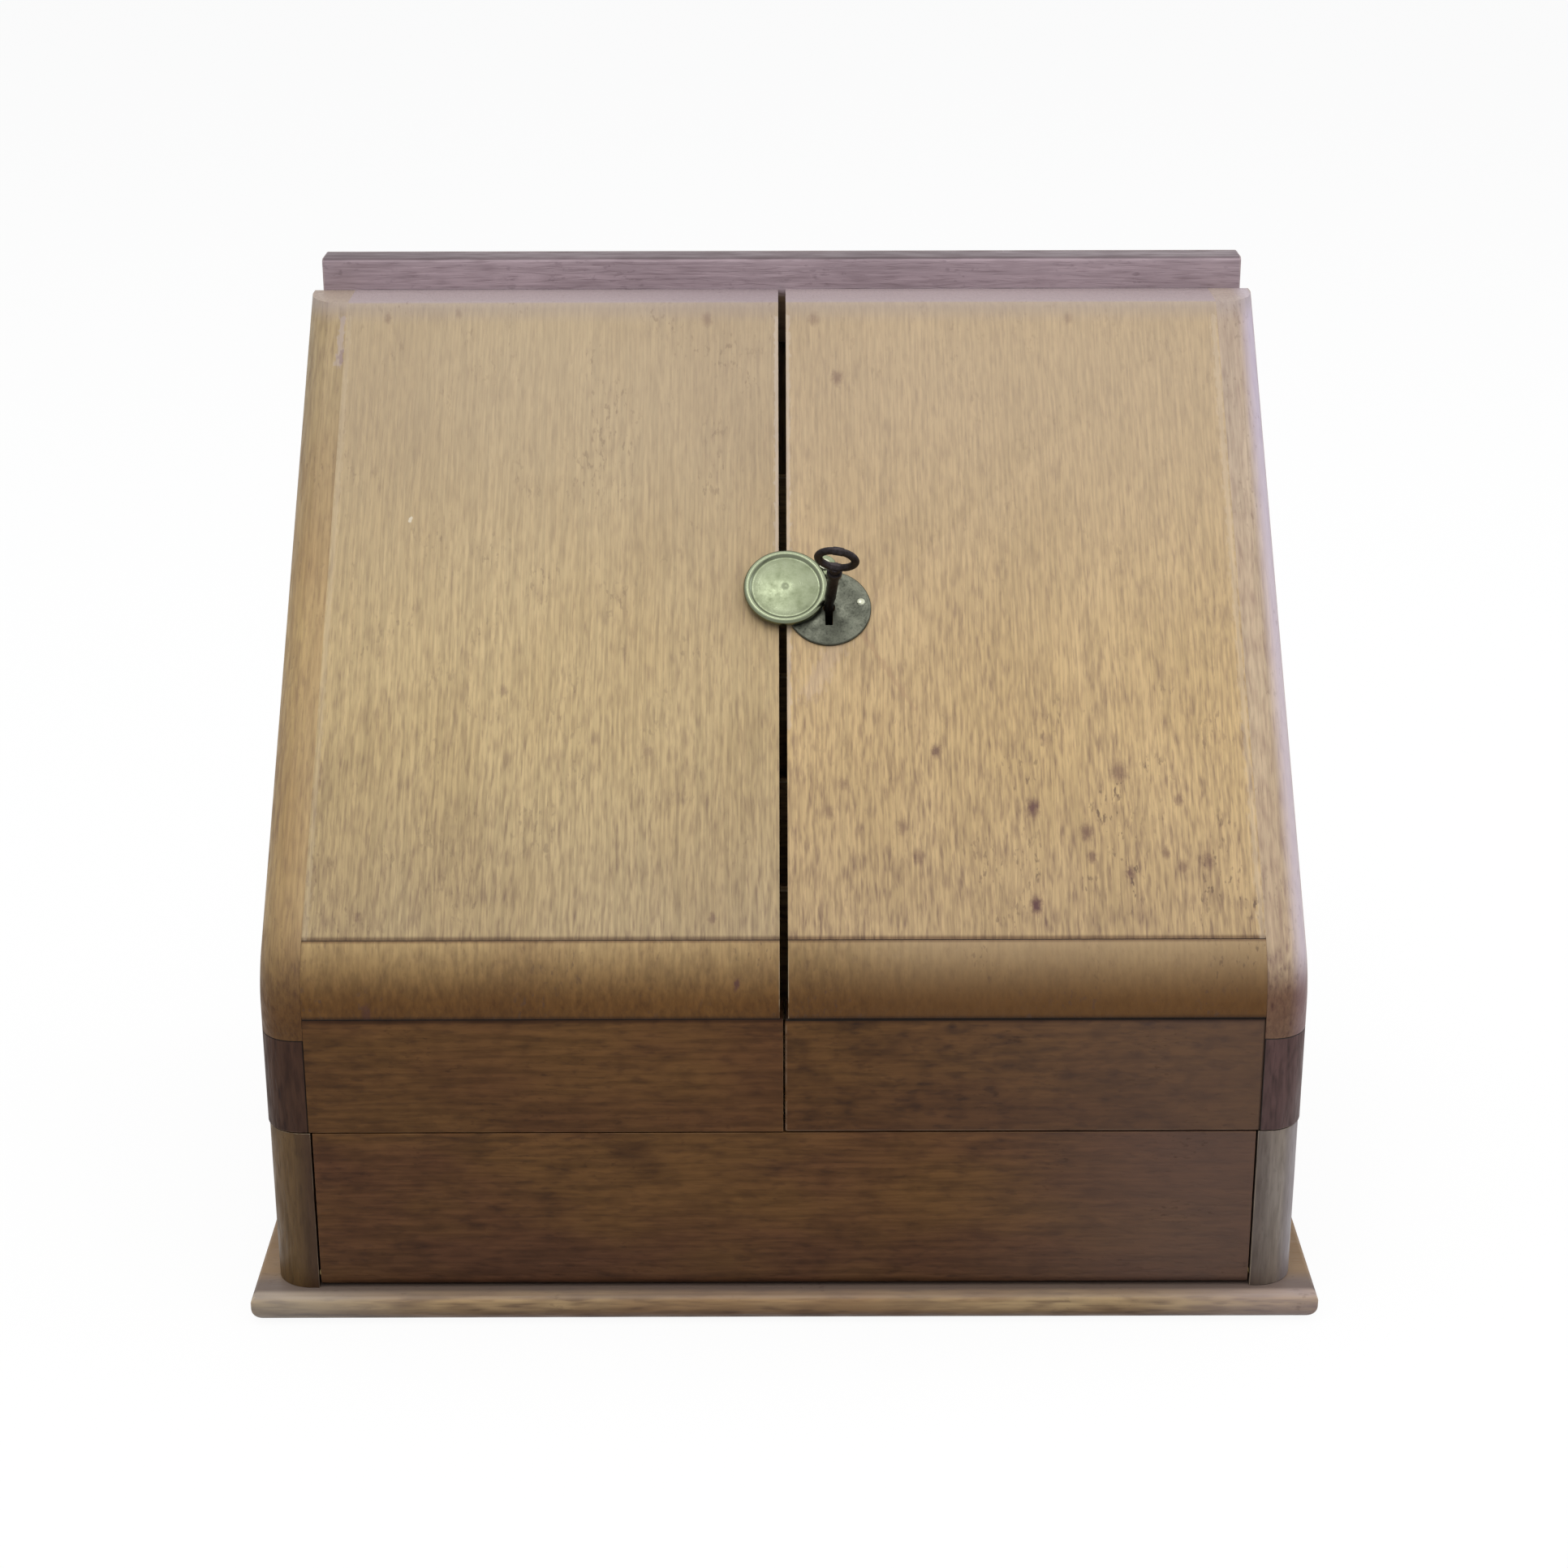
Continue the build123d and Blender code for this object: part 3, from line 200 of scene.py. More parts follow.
    for start, end, reach, tint, amount in strokes:
        line = Vector((end[0] - start[0], 0.0, end[1] - start[1]))
        from_start = vector_maths(tree, "SUBTRACT", turned, (start[0], 0.0, start[1]))
        from_start = vector_maths(tree, "MULTIPLY", from_start, (1.0, 0.0, 1.0))
        passed = vector_maths(tree, "DOT_PRODUCT", from_start, line / line.length_squared, output="Value")
        passed = add_node(tree, "ShaderNodeClamp", {0: passed}).outputs[0]
        nearest = add_node(tree, "ShaderNodeVectorMath", {0: line, "Scale": passed}, operation="SCALE")
        off = distance(from_start, nearest.outputs["Vector"])
        off = times(off, between(noise(pattern, (1.2, 1.2, 3.0), 2.0), 0.3, 0.7, 0.6, 1.8))
        colour = blended(between(off, reach, reach * 0.3, 0.0, amount), colour, tint + (1,))

    bare = add_node(tree, "ShaderNodeAttribute", attribute_name="rubbed").outputs["Fac"]
    patchy = between(noise(pattern, (3.0, 3.0, 16.0), 3.0), 0.34, 0.6)
    colour = blended(times(times(bare, patchy), rub), colour, rubbed + (1,))
    grime = add_node(tree, "ShaderNodeAttribute", attribute_name="grimed").outputs["Fac"]
    colour = blended(times(grime, 0.9), colour, (0.012, 0.008, 0.006, 1))

    height = times(vessels, -0.6)
    height = maths(tree, "MULTIPLY_ADD", streaks, 0.6, height)
    height = maths(tree, "MULTIPLY_ADD", hair, 0.3, height)
    bump = add_node(tree, "ShaderNodeBump", {"Strength": 0.3, "Distance": 0.0004, "Height": height})
    dull = between(streaks, 0.3, 0.7, roughness - 0.05, roughness + 0.1)
    surface = add_node(
        tree,
        "ShaderNodeBsdfPrincipled",
        {"Base Color": colour, "Roughness": dull, "Specular IOR Level": gloss, "Normal": bump.outputs[0]},
    )
    add_node(tree, "ShaderNodeOutputMaterial", {"Surface": surface.outputs[0]})
    return material


def merged_form(node):
    """A copy of the node's solid, its loose triangles joined and its flat faces whole."""
    form = bmesh.new()
    form.from_mesh(frame["nodes"][node].data)
    bmesh.ops.remove_doubles(form, verts=form.verts, dist=1e-6)
    bmesh.ops.dissolve_limit(form, angle_limit=math.radians(0.5), verts=form.verts, edges=form.edges)
    return form


def in_scene(name, data):
    """An object for a mesh, lamp or camera, standing in the scene."""
    thing = bpy.data.objects.new(name, data)
    bpy.context.scene.collection.objects.link(thing)
    return thing


def settle(piece):
    """The piece's modifiers are worked into its mesh, which is returned."""
    evaluated = piece.evaluated_get(bpy.context.evaluated_depsgraph_get())
    finished = bpy.data.meshes.new_from_object(evaluated)
    piece.modifiers.clear()
    piece.data = finished
    return finished


def surroundings(node, reach):
    """Surface trees of the nodes whose boxes come within reach of this one's."""
    low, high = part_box(node)
    near = {}
    for other, form in frame["nodes"].items():
        other_low, other_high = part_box(other)
        apart = max(max(other_low[i] - high[i], low[i] - other_high[i]) for i in range(3))
        if other != node and apart < reach:
            near[other] = BVHTree.FromPolygons(
                [corner.co for corner in form.data.vertices], [face.vertices for face in form.data.polygons]
            )
    return near


def dress(node, body, material, arris=0.0005, seams=None, bent=None):
    """A solid given its finish, its arrises eased: the free ones are rubbed, grime sits in the joints.

    Seams gives how dark the joint with a named neighbour is, and below nought how far it is rubbed pale.
    Bent is a function that works on the solid before its arrises are eased.
    """
    contact = 0.00035
    form = merged_form(node)
    if bent:
        bent(form)
    mesh = bpy.data.meshes.new(node + "_dressed")
    form.to_mesh(mesh)
    form.free()
    piece = in_scene(node + "_dressed", mesh)
    mesh.materials.append(material)
    mesh.materials.append(material)
    mesh.shade_smooth()
    bevel = piece.modifiers.new("arris", "BEVEL")
    bevel.width = arris
    bevel.segments = 3
    bevel.limit_method = "ANGLE"
    bevel.angle_limit = math.radians(35)
    bevel.harden_normals = True
    bevel.material = 1
    finished = settle(piece)
    near = surroundings(node, contact)
    rubbed = finished.attributes.new("rubbed", "FLOAT", "FACE")
    grimed = finished.attributes.new("grimed", "FLOAT", "FACE")
    for face in finished.polygons:
        if face.material_index == 1:
            joints_here = [
                (seams or {}).get(other, 1.0)
                for other, surface in near.items()
                if surface.find_nearest(face.center, contact + arris)[0]
            ]
            dirt = max(joints_here, default=-1.0)
            rubbed.data[face.index].value = max(-dirt, 0.0)
            grimed.data[face.index].value = max(dirt, 0.0)
            face.material_index = 0
    finished.materials.pop(index=1)
    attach(piece, body)
    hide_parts(node)


board_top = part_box("base_board")[1].z
fall_low, fall_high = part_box("fall_front")
board_oak = oak(
    "board_oak",
    GRAIN_ACROSS,
    light=(0.52, 0.37, 0.20),
    deep=(0.36, 0.22, 0.11),
    pore=(0.09, 0.05, 0.04),
    shift=(13.0, 5.0, 71.0),
    across=3.0,
    along=16.0,
    rubbed=(0.55, 0.44, 0.32),
    stains_and_painted_light=[
        # Painted shade on the rounded underside of the nose.
        ("MULTIPLY", 2, board_top - 0.0027, board_top - 0.0092, (0.38, 0.31, 0.29), 1.0),
        # Painted sheen: the top face is greyed for the light it catches.
        ("MIX", 2, board_top - 0.0014, board_top - 0.0001, (0.26, 0.20, 0.16), 0.6),
        # Painted sheen on the two ends of the board.
        ("MIX", 0, -0.12, -0.19, (0.50, 0.45, 0.40), 0.4),
        ("MIX", 0, 0.12, 0.19, (0.52, 0.42, 0.42), 0.4),
        # Painted shade on the top of the board in the corner before the fall front.
        ("MIX", 1, fall_low.y - 0.0045, fall_low.y - 0.001, (0.13, 0.095, 0.08), 0.85),
        ("MIX", 1, fall_low.y + 0.002, fall_high.y, (0.31, 0.20, 0.105), 0.8),
    ],
)
dress("base_board", "carcass", board_oak, arris=0.0004)

# ---- Base box ----
# Side boards, a back board, rounded corner posts and the deck that closes the paper compartment.
# The right post's grey sheen is painted into its colour, and both posts have painted shade along
# their inner edges; the deck is thinly polished.
carcass_oak = oak(
    "carcass_oak",
    GRAIN_BACKWARDS,
    light=(0.30, 0.19, 0.095),
    deep=(0.19, 0.105, 0.05),
    pore=(0.05, 0.028, 0.022),
    shift=(40.0, 22.0, 9.0),
)
carcass_oak_across = oak(
    "carcass_oak_across",
    GRAIN_ACROSS,
    light=(0.28, 0.17, 0.085),
    deep=(0.18, 0.10, 0.047),
    pore=(0.05, 0.028, 0.022),
    shift=(90.0, 61.0, 33.0),
)
post_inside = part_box("base_corner_right")[0].x
post_oak_left = oak(
    "post_oak_left",
    GRAIN_UPRIGHT,
    light=(0.155, 0.09, 0.035),
    deep=(0.115, 0.064, 0.026),
    pore=(0.04, 0.024, 0.015),
    shift=(7.0, 3.0, 50.0),
    pores=0.5,
    # Painted shade along the inner edge, beside the fall front.
    stains_and_painted_light=[("MULTIPLY", 0, -post_inside - 0.009, -post_inside - 0.0005, (0.52, 0.47, 0.6), 1.0)],
)
# The right post's light grey colour is a painted sheen.
post_oak_right_painted_sheen = oak(
    "post_oak_right_painted_sheen",
    GRAIN_UPRIGHT,
    light=(0.34, 0.29, 0.25),
    deep=(0.25, 0.20, 0.16),
    pore=(0.09, 0.065, 0.05),
    shift=(77.0, 31.0, 12.0),
    pores=0.5,
    gloss=0.4,
    stains_and_painted_light=[
        # Painted shade along the inner edge, and a painted lavender sheen on the outer round.
        ("MULTIPLY", 0, post_inside + 0.011, post_inside + 0.0005, (0.5, 0.46, 0.46), 1.0),
        ("MIX", 0, post_inside + 0.009, post_inside + 0.015, (0.30, 0.26, 0.28), 0.7),
    ],
)
inner_tones = {"light": (0.46, 0.30, 0.15), "deep": (0.34, 0.20, 0.09), "pore": (0.12, 0.065, 0.04)}
inner_oak = oak("inner_oak", GRAIN_ACROSS, shift=(55.0, 18.0, 4.0), roughness=0.55, **inner_tones)
for side, post_oak in (("left", post_oak_left), ("right", post_oak_right_painted_sheen)):
    dress(f"base_side_{side}", "carcass", carcass_oak)
    dress(f"base_corner_{side}", "carcass", post_oak, arris=0.0004)
dress("base_back", "carcass", carcass_oak_across)
dress("deck", "carcass", inner_oak)

# ---- Fall front ----
# A dark oak board across the base, dropping forward on two brass pins. Its top edge is rubbed pale
# where the doors and the deck meet it.
fall_oak = oak(
    "fall_oak",
    GRAIN_ACROSS,
    light=(0.155, 0.074, 0.026),
    deep=(0.118, 0.051, 0.024),
    pore=(0.03, 0.016, 0.012),
    shift=(21.0, 8.0, 140.0),
    pores=0.55,
    across=3.6,
    along=9.0,
    lines=0.2,
    rubbed=(0.26, 0.15, 0.08),
    gloss=0.1,
    stains_and_painted_light=[
        ("MULTIPLY", 2, fall_low.z + 0.03, fall_low.z, (0.85, 0.88, 1.0), 0.8),
        # Painted sheen: the right half is greyed and cooled.
        ("MIX", 0, 0.04, 0.17, (0.15, 0.098, 0.08), 0.6),
    ],
    spots=[(-67.0, -56.0, 6.0, 0.45), (-64.0, -50.0, 4.0, 0.35)],
)
worn_top = {"frieze_left": -0.8, "frieze_right": -0.8, "deck": -0.8}
dress("fall_front", "fall_front", fall_oak, seams=worn_top)

# ---- Back frame ----
# Stiles and rails grooved for a thin panel. The top rail stands above the doors; its purplish grey is a
# painted reflection of cool light on the oak, with painted shade on its top edge and behind the doors.
rail_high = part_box("back_top_rail")[1]
behind_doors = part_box("slope_panel_left")[1].z
rail_oak = oak(
    "rail_oak",
    GRAIN_ACROSS,
    light=(0.47, 0.365, 0.40),
    deep=(0.39, 0.30, 0.33),
    pore=(0.16, 0.11, 0.12),
    shift=(3.0, 77.0, 29.0),
    pores=0.45,
    along=14.0,
    rubbed=(0.58, 0.47, 0.45),
    stains_and_painted_light=[
        # Painted shade on the top edge, and below the tops of the doors where the rail stands behind them.
        ("MULTIPLY", 2, rail_high.z - 0.0012, rail_high.z - 0.0004, (0.34, 0.33, 0.33), 1.0),
        ("MULTIPLY", 2, behind_doors, behind_doors - 0.004, (0.42, 0.34, 0.18), 1.0),
        ("MIX", 1, rail_high.y - 0.004, rail_high.y - 0.0005, (0.20, 0.13, 0.07), 0.6),
    ],
)
stile_oak = oak(
    "stile_oak",
    GRAIN_UPRIGHT,
    light=(0.29, 0.18, 0.09),
    deep=(0.18, 0.10, 0.048),
    pore=(0.05, 0.028, 0.022),
    shift=(66.0, 12.0, 83.0),
)
for side in ("left", "right"):
    dress(f"back_stile_{side}", "carcass", stile_oak)
dress("back_bottom_rail", "carcass", carcass_oak_across)
dress("back_panel", "carcass", stile_oak)
dress("back_top_rail", "carcass", rail_oak, arris=0.0006)

# ---- Letter rack and pen tray ----
# Thin polished oak: two cheeks that follow the slope, five scooped partitions let into them, and a
# tray routed for pens.
cheek_oak = oak("cheek_oak", GRAIN_UPRIGHT, shift=(15.0, 48.0, 24.0), roughness=0.55, **inner_tones)
for side in ("left", "right"):
    dress(f"rack_cheek_{side}", "carcass", cheek_oak)
for number in range(1, 6):
    dress(f"rack_partition_{number}", "carcass", inner_oak)
dress("pen_tray", "carcass", inner_oak)

# ---- Doors ----
# Each door wraps round the front: slope panel, bullnose rail, frieze, a three-cornered side board and
# a rounded corner block. The slopes are golden and worn, the upright faces darker.
joints = {joint["name"]: joint for joint in frame["joints"]}
into_slope = Vector(joints["key_turn"]["axis"])
slope = math.atan2(into_slope.y, -into_slope.z)
key_place = Vector(joints["key_turn"]["pos_m"])
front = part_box("frieze_left")[0].y
knee = Vector((0.0, front, key_place.z - (key_place.y - front) * math.tan(slope)))
door_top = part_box("slope_panel_left")[1].z
joint_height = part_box("bullnose_left")[1].z
frieze_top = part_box("frieze_left")[1].z
GRAIN_SLOPING = (math.radians(90) - slope, 0.0, 0.0)
knee_in_grain = Matrix.Rotation(GRAIN_SLOPING[0], 3, "X") @ (knee * 1000)
golden_tones = {
    "pore": (0.17, 0.10, 0.075),
    "across": 1.55,
    "along": 9.0,
    "lines": 0.13,
    "rubbed": (0.74, 0.64, 0.54),
    "rub": 0.75,
    "origin": knee_in_grain,
}
slope_stains_and_painted_light = [
    ("MIX", 2, 0.20, door_top - 0.01, (0.47, 0.37, 0.25), 0.5),
    ("MULTIPLY", 2, 0.19, 0.31, (0.88, 0.88, 0.93), 1.0),
    ("MULTIPLY", 2, 0.20, joint_height, (0.90, 0.90, 0.95), 1.0),
    ("MULTIPLY", 2, joint_height + 0.0014, joint_height + 0.0003, (0.42, 0.36, 0.34), 1.0),
    # Painted sheen: the band at the top of each door is greyed, and its top edge painted lavender.
    ("MIX", 2, door_top - 0.008, door_top, (0.35, 0.285, 0.25), 0.6),
    ("MIX", 2, door_top - 0.0006, door_top - 0.0001, (0.34, 0.28, 0.335), 0.6),
]
slope_fade = (0.16, 0.29)
left_panel_oak = oak(
    "left_panel_oak",
    GRAIN_SLOPING,
    light=(0.555, 0.411, 0.209),
    deep=(0.507, 0.367, 0.18),
    shift=(31.0, 6.0, 17.0),
    pores=0.58,
    fade=slope_fade,
    flecks=0.3,
    stains_and_painted_light=slope_stains_and_painted_light
    + [
        ("MULTIPLY", 0, -0.09, -0.01, (0.92, 0.91, 0.93), 1.0),
        ("MULTIPLY", 2, 0.245, 0.18, (0.93, 0.935, 0.95), 1.0),
    ],
    spots=[
        (-104.7, 115.9, 1.5, 0.35),
        (-49.9, 90.4, 1.6, 0.35),
        (-25.6, 23.3, 1.4, 0.5),
        (-153.9, 23.7, 1.2, 0.4),
        (-157.0, 284.0, 1.6, 0.3),
        (-129.0, 286.0, 1.4, 0.25),
        (-30.0, 283.0, 2.2, 0.35),
    ],
    strokes=[
        ((-143.6, 190.0), (-143.4, 191.0), 1.1, (0.72, 0.65, 0.52), 0.7),
        # A pale line along the gap between the doors, partly wear and partly a painted highlight on the
        # arris, and a painted highlight along the joint with the side board.
        ((-2.2, 150.0), (-2.2, 284.0), 1.3, (0.66, 0.58, 0.54), 0.28),
        ((-172.2, 10.0), (-172.2, 284.0), 1.5, (0.60, 0.48, 0.34), 0.2),
    ],
    **golden_tones,
)
right_panel_oak = oak(
    "right_panel_oak",
    GRAIN_SLOPING,
    light=(0.585, 0.411, 0.209),
    deep=(0.528, 0.367, 0.18),
    shift=(140.0, 44.0, 63.0),
    pores=0.72,
    fade=slope_fade,
    flecks=0.8,
    swarm=(135.0, 45.0, 95.0),
    stains_and_painted_light=slope_stains_and_painted_light,
    spots=[
        (123.9, 81.7, 3.0, 0.6),
        (91.7, 66.8, 2.5, 0.85),
        (91.5, 27.8, 2.2, 0.95),
        (110.6, 56.9, 2.2, 0.7),
        (112.4, 47.1, 1.6, 0.65),
        (56.7, 90.2, 1.8, 0.75),
        (43.9, 59.3, 2.0, 0.5),
        (49.5, 47.2, 2.0, 0.5),
        (16.9, 65.3, 1.8, 0.4),
        (21.9, 76.9, 1.6, 0.4),
        (154.3, 45.4, 2.2, 0.6),
        (145.4, 43.0, 1.8, 0.5),
        (139.7, 48.6, 1.6, 0.5),
        (125.9, 40.6, 1.6, 0.75),
        (145.6, 70.0, 1.6, 0.5),
        (97.5, 95.1, 1.8, 0.35),
        (21.6, 255.2, 2.2, 0.5),
        (12.7, 283.0, 2.0, 0.35),
        (114.0, 283.0, 1.8, 0.3),
    ],
    strokes=[
        ((30.0, 140.0), (49.0, 108.0), 1.6, (0.40, 0.25, 0.14), 0.4),
        ((22.0, 138.0), (10.0, 116.0), 6.0, (0.60, 0.45, 0.35), 0.25),
        # A pale line along the gap between the doors, partly wear and partly a painted highlight on the
        # arris, and a painted highlight along the joint with the side board.
        ((2.2, 100.0), (2.2, 284.0), 1.3, (0.66, 0.58, 0.54), 0.25),
        ((172.0, 10.0), (172.0, 284.0), 1.8, (0.62, 0.50, 0.38), 0.3),
    ],
    **golden_tones,
)
bullnose_oak = oak(
    "bullnose_oak",
    GRAIN_SLOPING,
    shift=(12.0, 90.0, 33.0),
    light=(0.49, 0.345, 0.16),
    deep=(0.42, 0.285, 0.13),
    pore=(0.14, 0.08, 0.055),
    pores=0.38,
    across=3.0,
    along=6.0,
    lines=0.15,
    flecks=0.5,
    rubbed=(0.55, 0.43, 0.28),
    stains_and_painted_light=[
        ("MIX", 0, 0.0, 0.06, (0.45, 0.325, 0.19), 0.6),
        # Darker as the rail turns down to the front: partly painted shade, partly the darker tone of the
        # upright faces.
        ("MULTIPLY", 2, joint_height + 0.010, frieze_top + 0.004, (0.31, 0.195, 0.098), 1.0),
        ("MULTIPLY", 2, joint_height - 0.0012, joint_height - 0.0002, (0.48, 0.4, 0.38), 1.0),
        # Painted shadow where the bullnose overhangs the frieze.
        ("MULTIPLY", 2, frieze_top + 0.002, frieze_top, (0.33, 0.30, 0.34), 1.0),
    ],
    spots=[(-17.0, 0.0, 1.2, 0.8), (-150.0, -8.0, 1.5, 0.5)],
)
door_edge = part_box("door_side_right")[1].x
# Painted sheen at the top of the door sides, as on the slopes.
painted_top_sheen = ("MIX", 2, door_top - 0.008, door_top, (0.35, 0.29, 0.28), 0.6)
left_side_oak = oak(
    "left_side_oak",
    GRAIN_SLOPING,
    light=(0.47, 0.33, 0.155),
    deep=(0.38, 0.25, 0.115),
    pore=(0.17, 0.10, 0.07),
    pores=0.65,
    shift=(9.0, 19.0, 105.0),
    across=1.6,
    rubbed=(0.60, 0.48, 0.34),
    origin=knee_in_grain,
    fade=slope_fade,
    stains_and_painted_light=[
        # Darker towards the knee: partly painted shade, partly the darker tone of the upright faces.
        ("MULTIPLY", 2, joint_height + 0.015, frieze_top, (0.31, 0.205, 0.125), 1.0),
        ("MULTIPLY", 2, 0.23, 0.32, (0.80, 0.84, 0.98), 1.0),
        painted_top_sheen,
    ],
    strokes=[
        ((-175.4, 262.0), (-174.8, 284.0), 2.0, (0.45, 0.38, 0.41), 0.35),
        ((-174.6, 263.0), (-174.4, 268.0), 1.4, (0.20, 0.13, 0.15), 0.5),
    ],
)
# The right side board is lighter and greyer than the left: partly its own tone, partly a painted sheen.
right_side_oak_painted_sheen = oak(
    "right_side_oak_painted_sheen",
    GRAIN_SLOPING,
    light=(0.55, 0.42, 0.28),
    deep=(0.48, 0.35, 0.23),
    pore=(0.24, 0.15, 0.12),
    shift=(49.0, 91.0, 11.0),
    across=1.6,
    rubbed=(0.68, 0.57, 0.50),
    origin=knee_in_grain,
    fade=slope_fade,
    stains_and_painted_light=[
        # Painted reflection: a lavender sheen on the rounded outer edge.
        ("MIX", 0, door_edge - 0.009, door_edge - 0.002, (0.66, 0.56, 0.63), 0.8),
        ("MIX", 0, door_edge - 0.0011, door_edge - 0.0001, (0.47, 0.35, 0.22), 0.9),
        ("MULTIPLY", 2, 0.20, 0.32, (0.84, 0.85, 0.95), 1.0),
        # Darker towards the knee: partly painted shade, partly the darker tone of the upright faces.
        ("MULTIPLY", 2, joint_height - 0.005, joint_height - 0.020, (0.40, 0.29, 0.26), 1.0),
        painted_top_sheen,
    ],
)
frieze_tones = {
    "light": (0.155, 0.074, 0.026),
    "deep": (0.12, 0.053, 0.022),
    "pore": (0.03, 0.016, 0.012),
    "along": 8.0,
    "lines": 0.2,
    "gloss": 0.1,
}
frieze_shade = ("MULTIPLY", 2, frieze_top - 0.0022, frieze_top - 0.0004, (0.4, 0.37, 0.42), 1.0)
left_frieze_oak = oak(
    "left_frieze_oak",
    GRAIN_ACROSS,
    shift=(121.0, 28.0, 40.0),
    pores=0.5,
    across=3.6,
    rubbed=(0.26, 0.16, 0.085),
    stains_and_painted_light=[frieze_shade],
    **frieze_tones,
)
right_frieze_oak = oak(
    "right_frieze_oak",
    GRAIN_ACROSS,
    shift=(21.0, 78.0, 90.0),
    pores=0.75,
    across=4.0,
    rubbed=(0.26, 0.17, 0.11),
    # Painted sheen: the right half is greyed and cooled.
    stains_and_painted_light=[("MIX", 0, 0.0, 0.19, (0.14, 0.088, 0.068), 0.6), frieze_shade],
    **frieze_tones,
)
left_corner_oak = oak(
    "left_corner_oak",
    GRAIN_UPRIGHT,
    light=(0.084, 0.042, 0.026),
    deep=(0.062, 0.030, 0.02),
    pore=(0.02, 0.011, 0.01),
    shift=(33.0, 2.0, 80.0),
    rubbed=(0.16, 0.10, 0.07),
    gloss=0.1,
)
right_corner_oak = oak(
    "right_corner_oak",
    GRAIN_UPRIGHT,
    light=(0.115, 0.06, 0.055),
    deep=(0.08, 0.04, 0.038),
    pore=(0.03, 0.016, 0.014),
    shift=(3.0, 62.0, 10.0),
    rubbed=(0.2, 0.13, 0.11),
    gloss=0.25,
)
for side, panel_oak, side_oak, frieze_oak, corner_oak in (
    ("left", left_panel_oak, left_side_oak, left_frieze_oak, left_corner_oak),
    ("right", right_panel_oak, right_side_oak_painted_sheen, right_frieze_oak, right_corner_oak),
):
    body = f"{side}_door"
    flush = {f"door_side_{side}": -0.7, f"door_corner_{side}": 0.6}
    dress(f"slope_panel_{side}", body, panel_oak, arris=0.0008, seams=flush)
    plain_joint = {f"door_side_{side}": 0.0}
    dress(f"bullnose_{side}", body, bullnose_oak, arris=0.0003, seams=plain_joint)
    dress(f"frieze_{side}", body, frieze_oak, arris=0.0007, seams=flush)
    outer = {f"slope_panel_{side}": -0.5, f"bullnose_{side}": 0.0, f"frieze_{side}": 0.4}
    dress(f"door_side_{side}", body, side_oak, arris=0.0003, seams=outer)
    dress(f"door_corner_{side}", body, corner_oak, arris=0.0004)

# ---- Hinges ----
# Two pairs of brass butt hinges, let into the back edges of the doors and the front of the frame and
# held by slotted screws. The brass has dulled to brown and stays brighter on its edges.


def metal(name, bright, dark, roughness, speckle=0.4, relief=0.12, turned_on=None):
    """Old metal: bright where it is rubbed, dark in clouds, specks and corners.

    Turned_on is the centre and the axis of a piece made on a lathe, which then has fine rings.
    """
    material, tree = new_finish(name)
    place = add_node(tree, "ShaderNodeTexCoord").outputs["Object"]

    def noise(scale, detail):
        settings = {"Vector": place, "Scale": scale, "Detail": detail, "Roughness": 0.6}
        return add_node(tree, "ShaderNodeTexNoise", settings).outputs["Fac"]

    def between(value, low, high, to_low, to_high):
        """Value brought from low..high to to_low..to_high, with ends held."""
        limits = {"Value": value, 1: low, 2: high, 3: to_low, 4: to_high}
        return add_node(tree, "ShaderNodeMapRange", limits, clamp=True).outputs["Result"]

    def blended(factor, first, second):
        colours = {0: factor, 6: first, 7: second}
        return add_node(tree, "ShaderNodeMix", colours, data_type="RGBA").outputs[2]

    specks = noise(1300.0, 3.0)
    stained = between(noise(210.0, 4.0), 0.36, 0.7, 0.0, 0.7)
    stained = maths(tree, "ADD", between(specks, 0.5, 0.75, 0.0, speckle), stained)
    worn = add_node(tree, "ShaderNodeAttribute", attribute_name="rubbed").outputs["Fac"]
    stained = maths(tree, "MULTIPLY_ADD", worn, -0.7, stained, use_clamp=True)
    grime = add_node(tree, "ShaderNodeAttribute", attribute_name="grimed").outputs["Fac"]
    colour = blended(stained, bright + (1,), dark + (1,))
    colour = blended(grime, colour, [part * 0.25 for part in dark] + [1])
    height = specks
    if turned_on:
        centre, outward = turned_on
        upright = outward.rotation_difference(Vector((0, 0, 1))).to_euler()
        flat = add_node(tree, "ShaderNodeMapping", {"Vector": place, "Rotation": upright}).outputs["Vector"]
        flat = vector_maths(tree, "SUBTRACT", flat, upright.to_matrix() @ centre)
        flat = vector_maths(tree, "MULTIPLY", flat, (1.0, 1.0, 0.0))
        radius = vector_maths(tree, "LENGTH", flat, output="Value")
        settings = {"W": radius, "Scale": 2600.0, "Detail": 1.0}
        rings = add_node(tree, "ShaderNodeTexNoise", settings, noise_dimensions="1D").outputs["Fac"]
        height = maths(tree, "MULTIPLY_ADD", rings, 0.5, height)
    bump = add_node(tree, "ShaderNodeBump", {"Strength": relief, "Distance": 0.0002, "Height": height})
    surface = add_node(
        tree,
        "ShaderNodeBsdfPrincipled",
        {
            "Base Color": colour,
            "Roughness": between(stained, 0.0, 1.0, roughness, roughness + 0.22),
            "Metallic": 1.0,
            "Normal": bump.outputs[0],
        },
    )
    add_node(tree, "ShaderNodeOutputMaterial", {"Surface": surface.outputs[0]})
    return material


